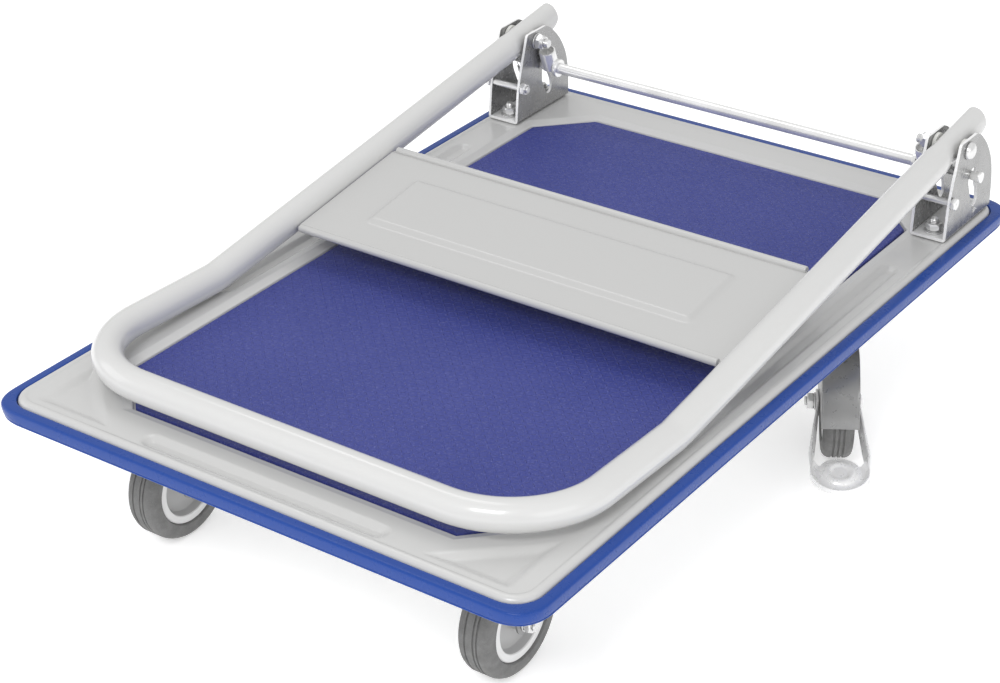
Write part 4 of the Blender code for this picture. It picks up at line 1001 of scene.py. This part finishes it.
def brake_pedal(side, turn, at):
    """Dished pad with a window cut behind it, on two arms that lean outwards from the axle."""
    pad = [(0.0, -1.0), (22.8, -1.0), (24.0, -0.4), (24.2, 0.6), (24.2, 4.4), (23.9, 5.0), (23.2, 5.0),
           (22.7, 4.7), (20.2, 1.5), (19.2, 1.0), (18.0, 0.9), (15.2, 0.9), (14.0, 1.3), (12.8, 2.6),
           (11.6, 3.2), (10.2, 3.4), (8.0, 3.0), (7.0, 2.4), (5.6, 2.2), (0.0, 2.2)]
    disc = lathe("pad", pad, 96, "Z", closed=False)
    fan = [180 + PAD_GAP * k / 12 for k in range(-12, 13)]
    window = arc(0, 0, PAD_DISC, fan) + arc(0, 0, 30, reversed(fan))
    cut(disc, [slab("window", window, "Z", -6, 10)])
    tilt = Matrix.Rotation(math.radians(PAD_TILT), 4, 'Y')
    disc.data.transform(Matrix.Translation(Vector(PAD_AT) * MM) @ tilt)
    parts = [disc]
    out = fillet([(-10.5, -9), (9, -10), (48, -22.5), (60, -24.5), (78, -29.5), (78, -22.5), (58, -15),
                  (12, 9), (-10.5, 9)], [8, 5, 12, 8, 2, 2, 12, 6, 8], 6)
    for k in (-1, 1):
        arm = slab("arm", out, "Y", k * ARM_Y - 1.0, k * ARM_Y + 1.0, 0.45)
        bm = bmesh.new()
        bm.from_mesh(arm.data)
        for x in (12, 14, 16, 20):
            bmesh.ops.bisect_plane(bm, geom=bm.verts[:] + bm.edges[:] + bm.faces[:], dist=1e-7,
                                   plane_co=(x * MM, 0, 0), plane_no=(1, 0, 0))
        for v in bm.verts:
            px, pz = v.co.x / MM, v.co.z / MM
            lean = 0.32 * ease((px - 16) / 24) * (1 - ease((px - 56) / 20)) * (pz + 9.0 + 0.30 * px)
            v.co.y += k * (ARM_LEAN * max(0.0, v.co.x - 13.0 * MM) + lean * MM)
        bm.to_mesh(arm.data)
        bm.free()
        parts.append(arm)
    done(merge("pedal", parts), "brake_pedal_" + side, "pedal", 24.0, turn, at)


def swivel_caster(side):
    s = 1 if side == "R" else -1
    cx, cy = s * REAR_CX, REAR_CY
    top = PLATE_TOP - 2.0
    cup = [(0.0, 99.5), (8.4, 99.5), (9.0, 100.1), (9.0, 102.4), (8.6, 102.7), (5.9, 102.7), (5.9, 120.0),
           (26.0, 120.0), (27.0, 121.0), (27.0, 125.5), (25.6, 128.6), (25.2, top), (0.0, top)]
    parts = mounting_plate(cx, cy) + [lathe("cup", cup, 72, "Z", (cx, cy, 0), closed=False)]
    done(merge("plate", parts), "swivel_plate_" + side, "fork", 28.0)
    turn = TRAIL_ANGLE[side]
    swivel_fork(side, turn, (cx, cy, 0))
    t = math.radians(turn)
    at = (cx + TRAIL * math.cos(t), cy + TRAIL * math.sin(t), WHEEL_R)
    wheel("R" + side, at, turn, WHEEL_B, (-4.0, 0.0, 4.0))
    axle("R" + side, at, turn, 18.0)
    brake_pedal(side, turn, at)


def build():
    deck()
    mat()
    bumper()
    handle_tube()
    handle_panel()
    lock_bar()
    for side in ("L", "R"):
        bracket(side)
        lock_spring(side)
        pivot_set(side)
        stop_set(side)
        web_set(side, 0)
        web_set(side, 1)
        rigid_caster(side)
        swivel_caster(side)


# ---- floor, light, camera ------------------------------------------------------------------------
def studio():
    bm = bmesh.new()
    bmesh.ops.create_grid(bm, x_segments=1, y_segments=1, size=6.0)
    floor = from_bm("floor", bm)
    pale = Nodes("floor_pale").set(base_color=(0.9, 0.9, 0.9), roughness=0.9, emission_color=(1.0, 1.0, 1.0),
                                   emission_strength=0.42)
    floor.data.materials.append(pale)
    world = bpy.data.worlds.new("studio")
    world.use_nodes = True
    t = world.node_tree
    bg = t.nodes["Background"]
    geo = t.nodes.new("ShaderNodeTexCoord")
    sep = t.nodes.new("ShaderNodeSeparateXYZ")
    t.links.new(geo.outputs["Generated"], sep.inputs[0])
    ramp = t.nodes.new("ShaderNodeValToRGB")
    t.links.new(sep.outputs["Z"], ramp.inputs[0])
    el = ramp.color_ramp.elements
    el[0].position, el[0].color = 0.0, (0.86, 0.86, 0.86, 1)
    el[1].position, el[1].color = 0.75, (1, 1, 1, 1)
    t.links.new(ramp.outputs[0], bg.inputs[0])
    bg.inputs[1].default_value = 0.76
    scene.world = world

    def area(name, at, size, power):
        li = bpy.data.lights.new(name, 'AREA')
        li.shape = 'RECTANGLE'
        li.size, li.size_y, li.energy = size[0], size[1], power
        ob = link(name, li)
        ob.location = at
        ob.rotation_euler = (Vector((0, 0, 0.1)) - Vector(at)).to_track_quat('-Z', 'Y').to_euler()

    area("key_front", (0.5, -1.8, 1.9), (1.0, 0.7), 21)
    area("top_strip", (-0.9, 0.4, 2.4), (0.5, 1.8), 6)
    area("side_fill", (1.7, -0.6, 0.75), (1.2, 0.9), 4)
    area("left_fill", (-1.7, -0.9, 0.8), (1.2, 0.9), 3.5)


def camera():
    data = bpy.data.cameras.new("camera")
    ob = link("camera", data)
    az, el, roll = (math.radians(a) for a in (36.08, 29.49, -1.15))
    back = Vector((math.sin(az) * math.cos(el), -math.cos(az) * math.cos(el), math.sin(el)))
    right = Vector((0, 0, 1)).cross(back).normalized()
    up = back.cross(right)
    x = right * math.cos(roll) + up * math.sin(roll)
    y = up * math.cos(roll) - right * math.sin(roll)
    m = Matrix((x, y, back)).transposed().to_4x4()
    m.translation = Vector((0.9764, -1.3901, 1.0582))
    ob.matrix_world = m
    data.lens, data.sensor_width = 85.03, 36.0
    data.clip_start, data.clip_end = 0.05, 60.0
    scene.camera = ob


build()
studio()
camera()
scene.view_settings.view_transform = 'Standard'
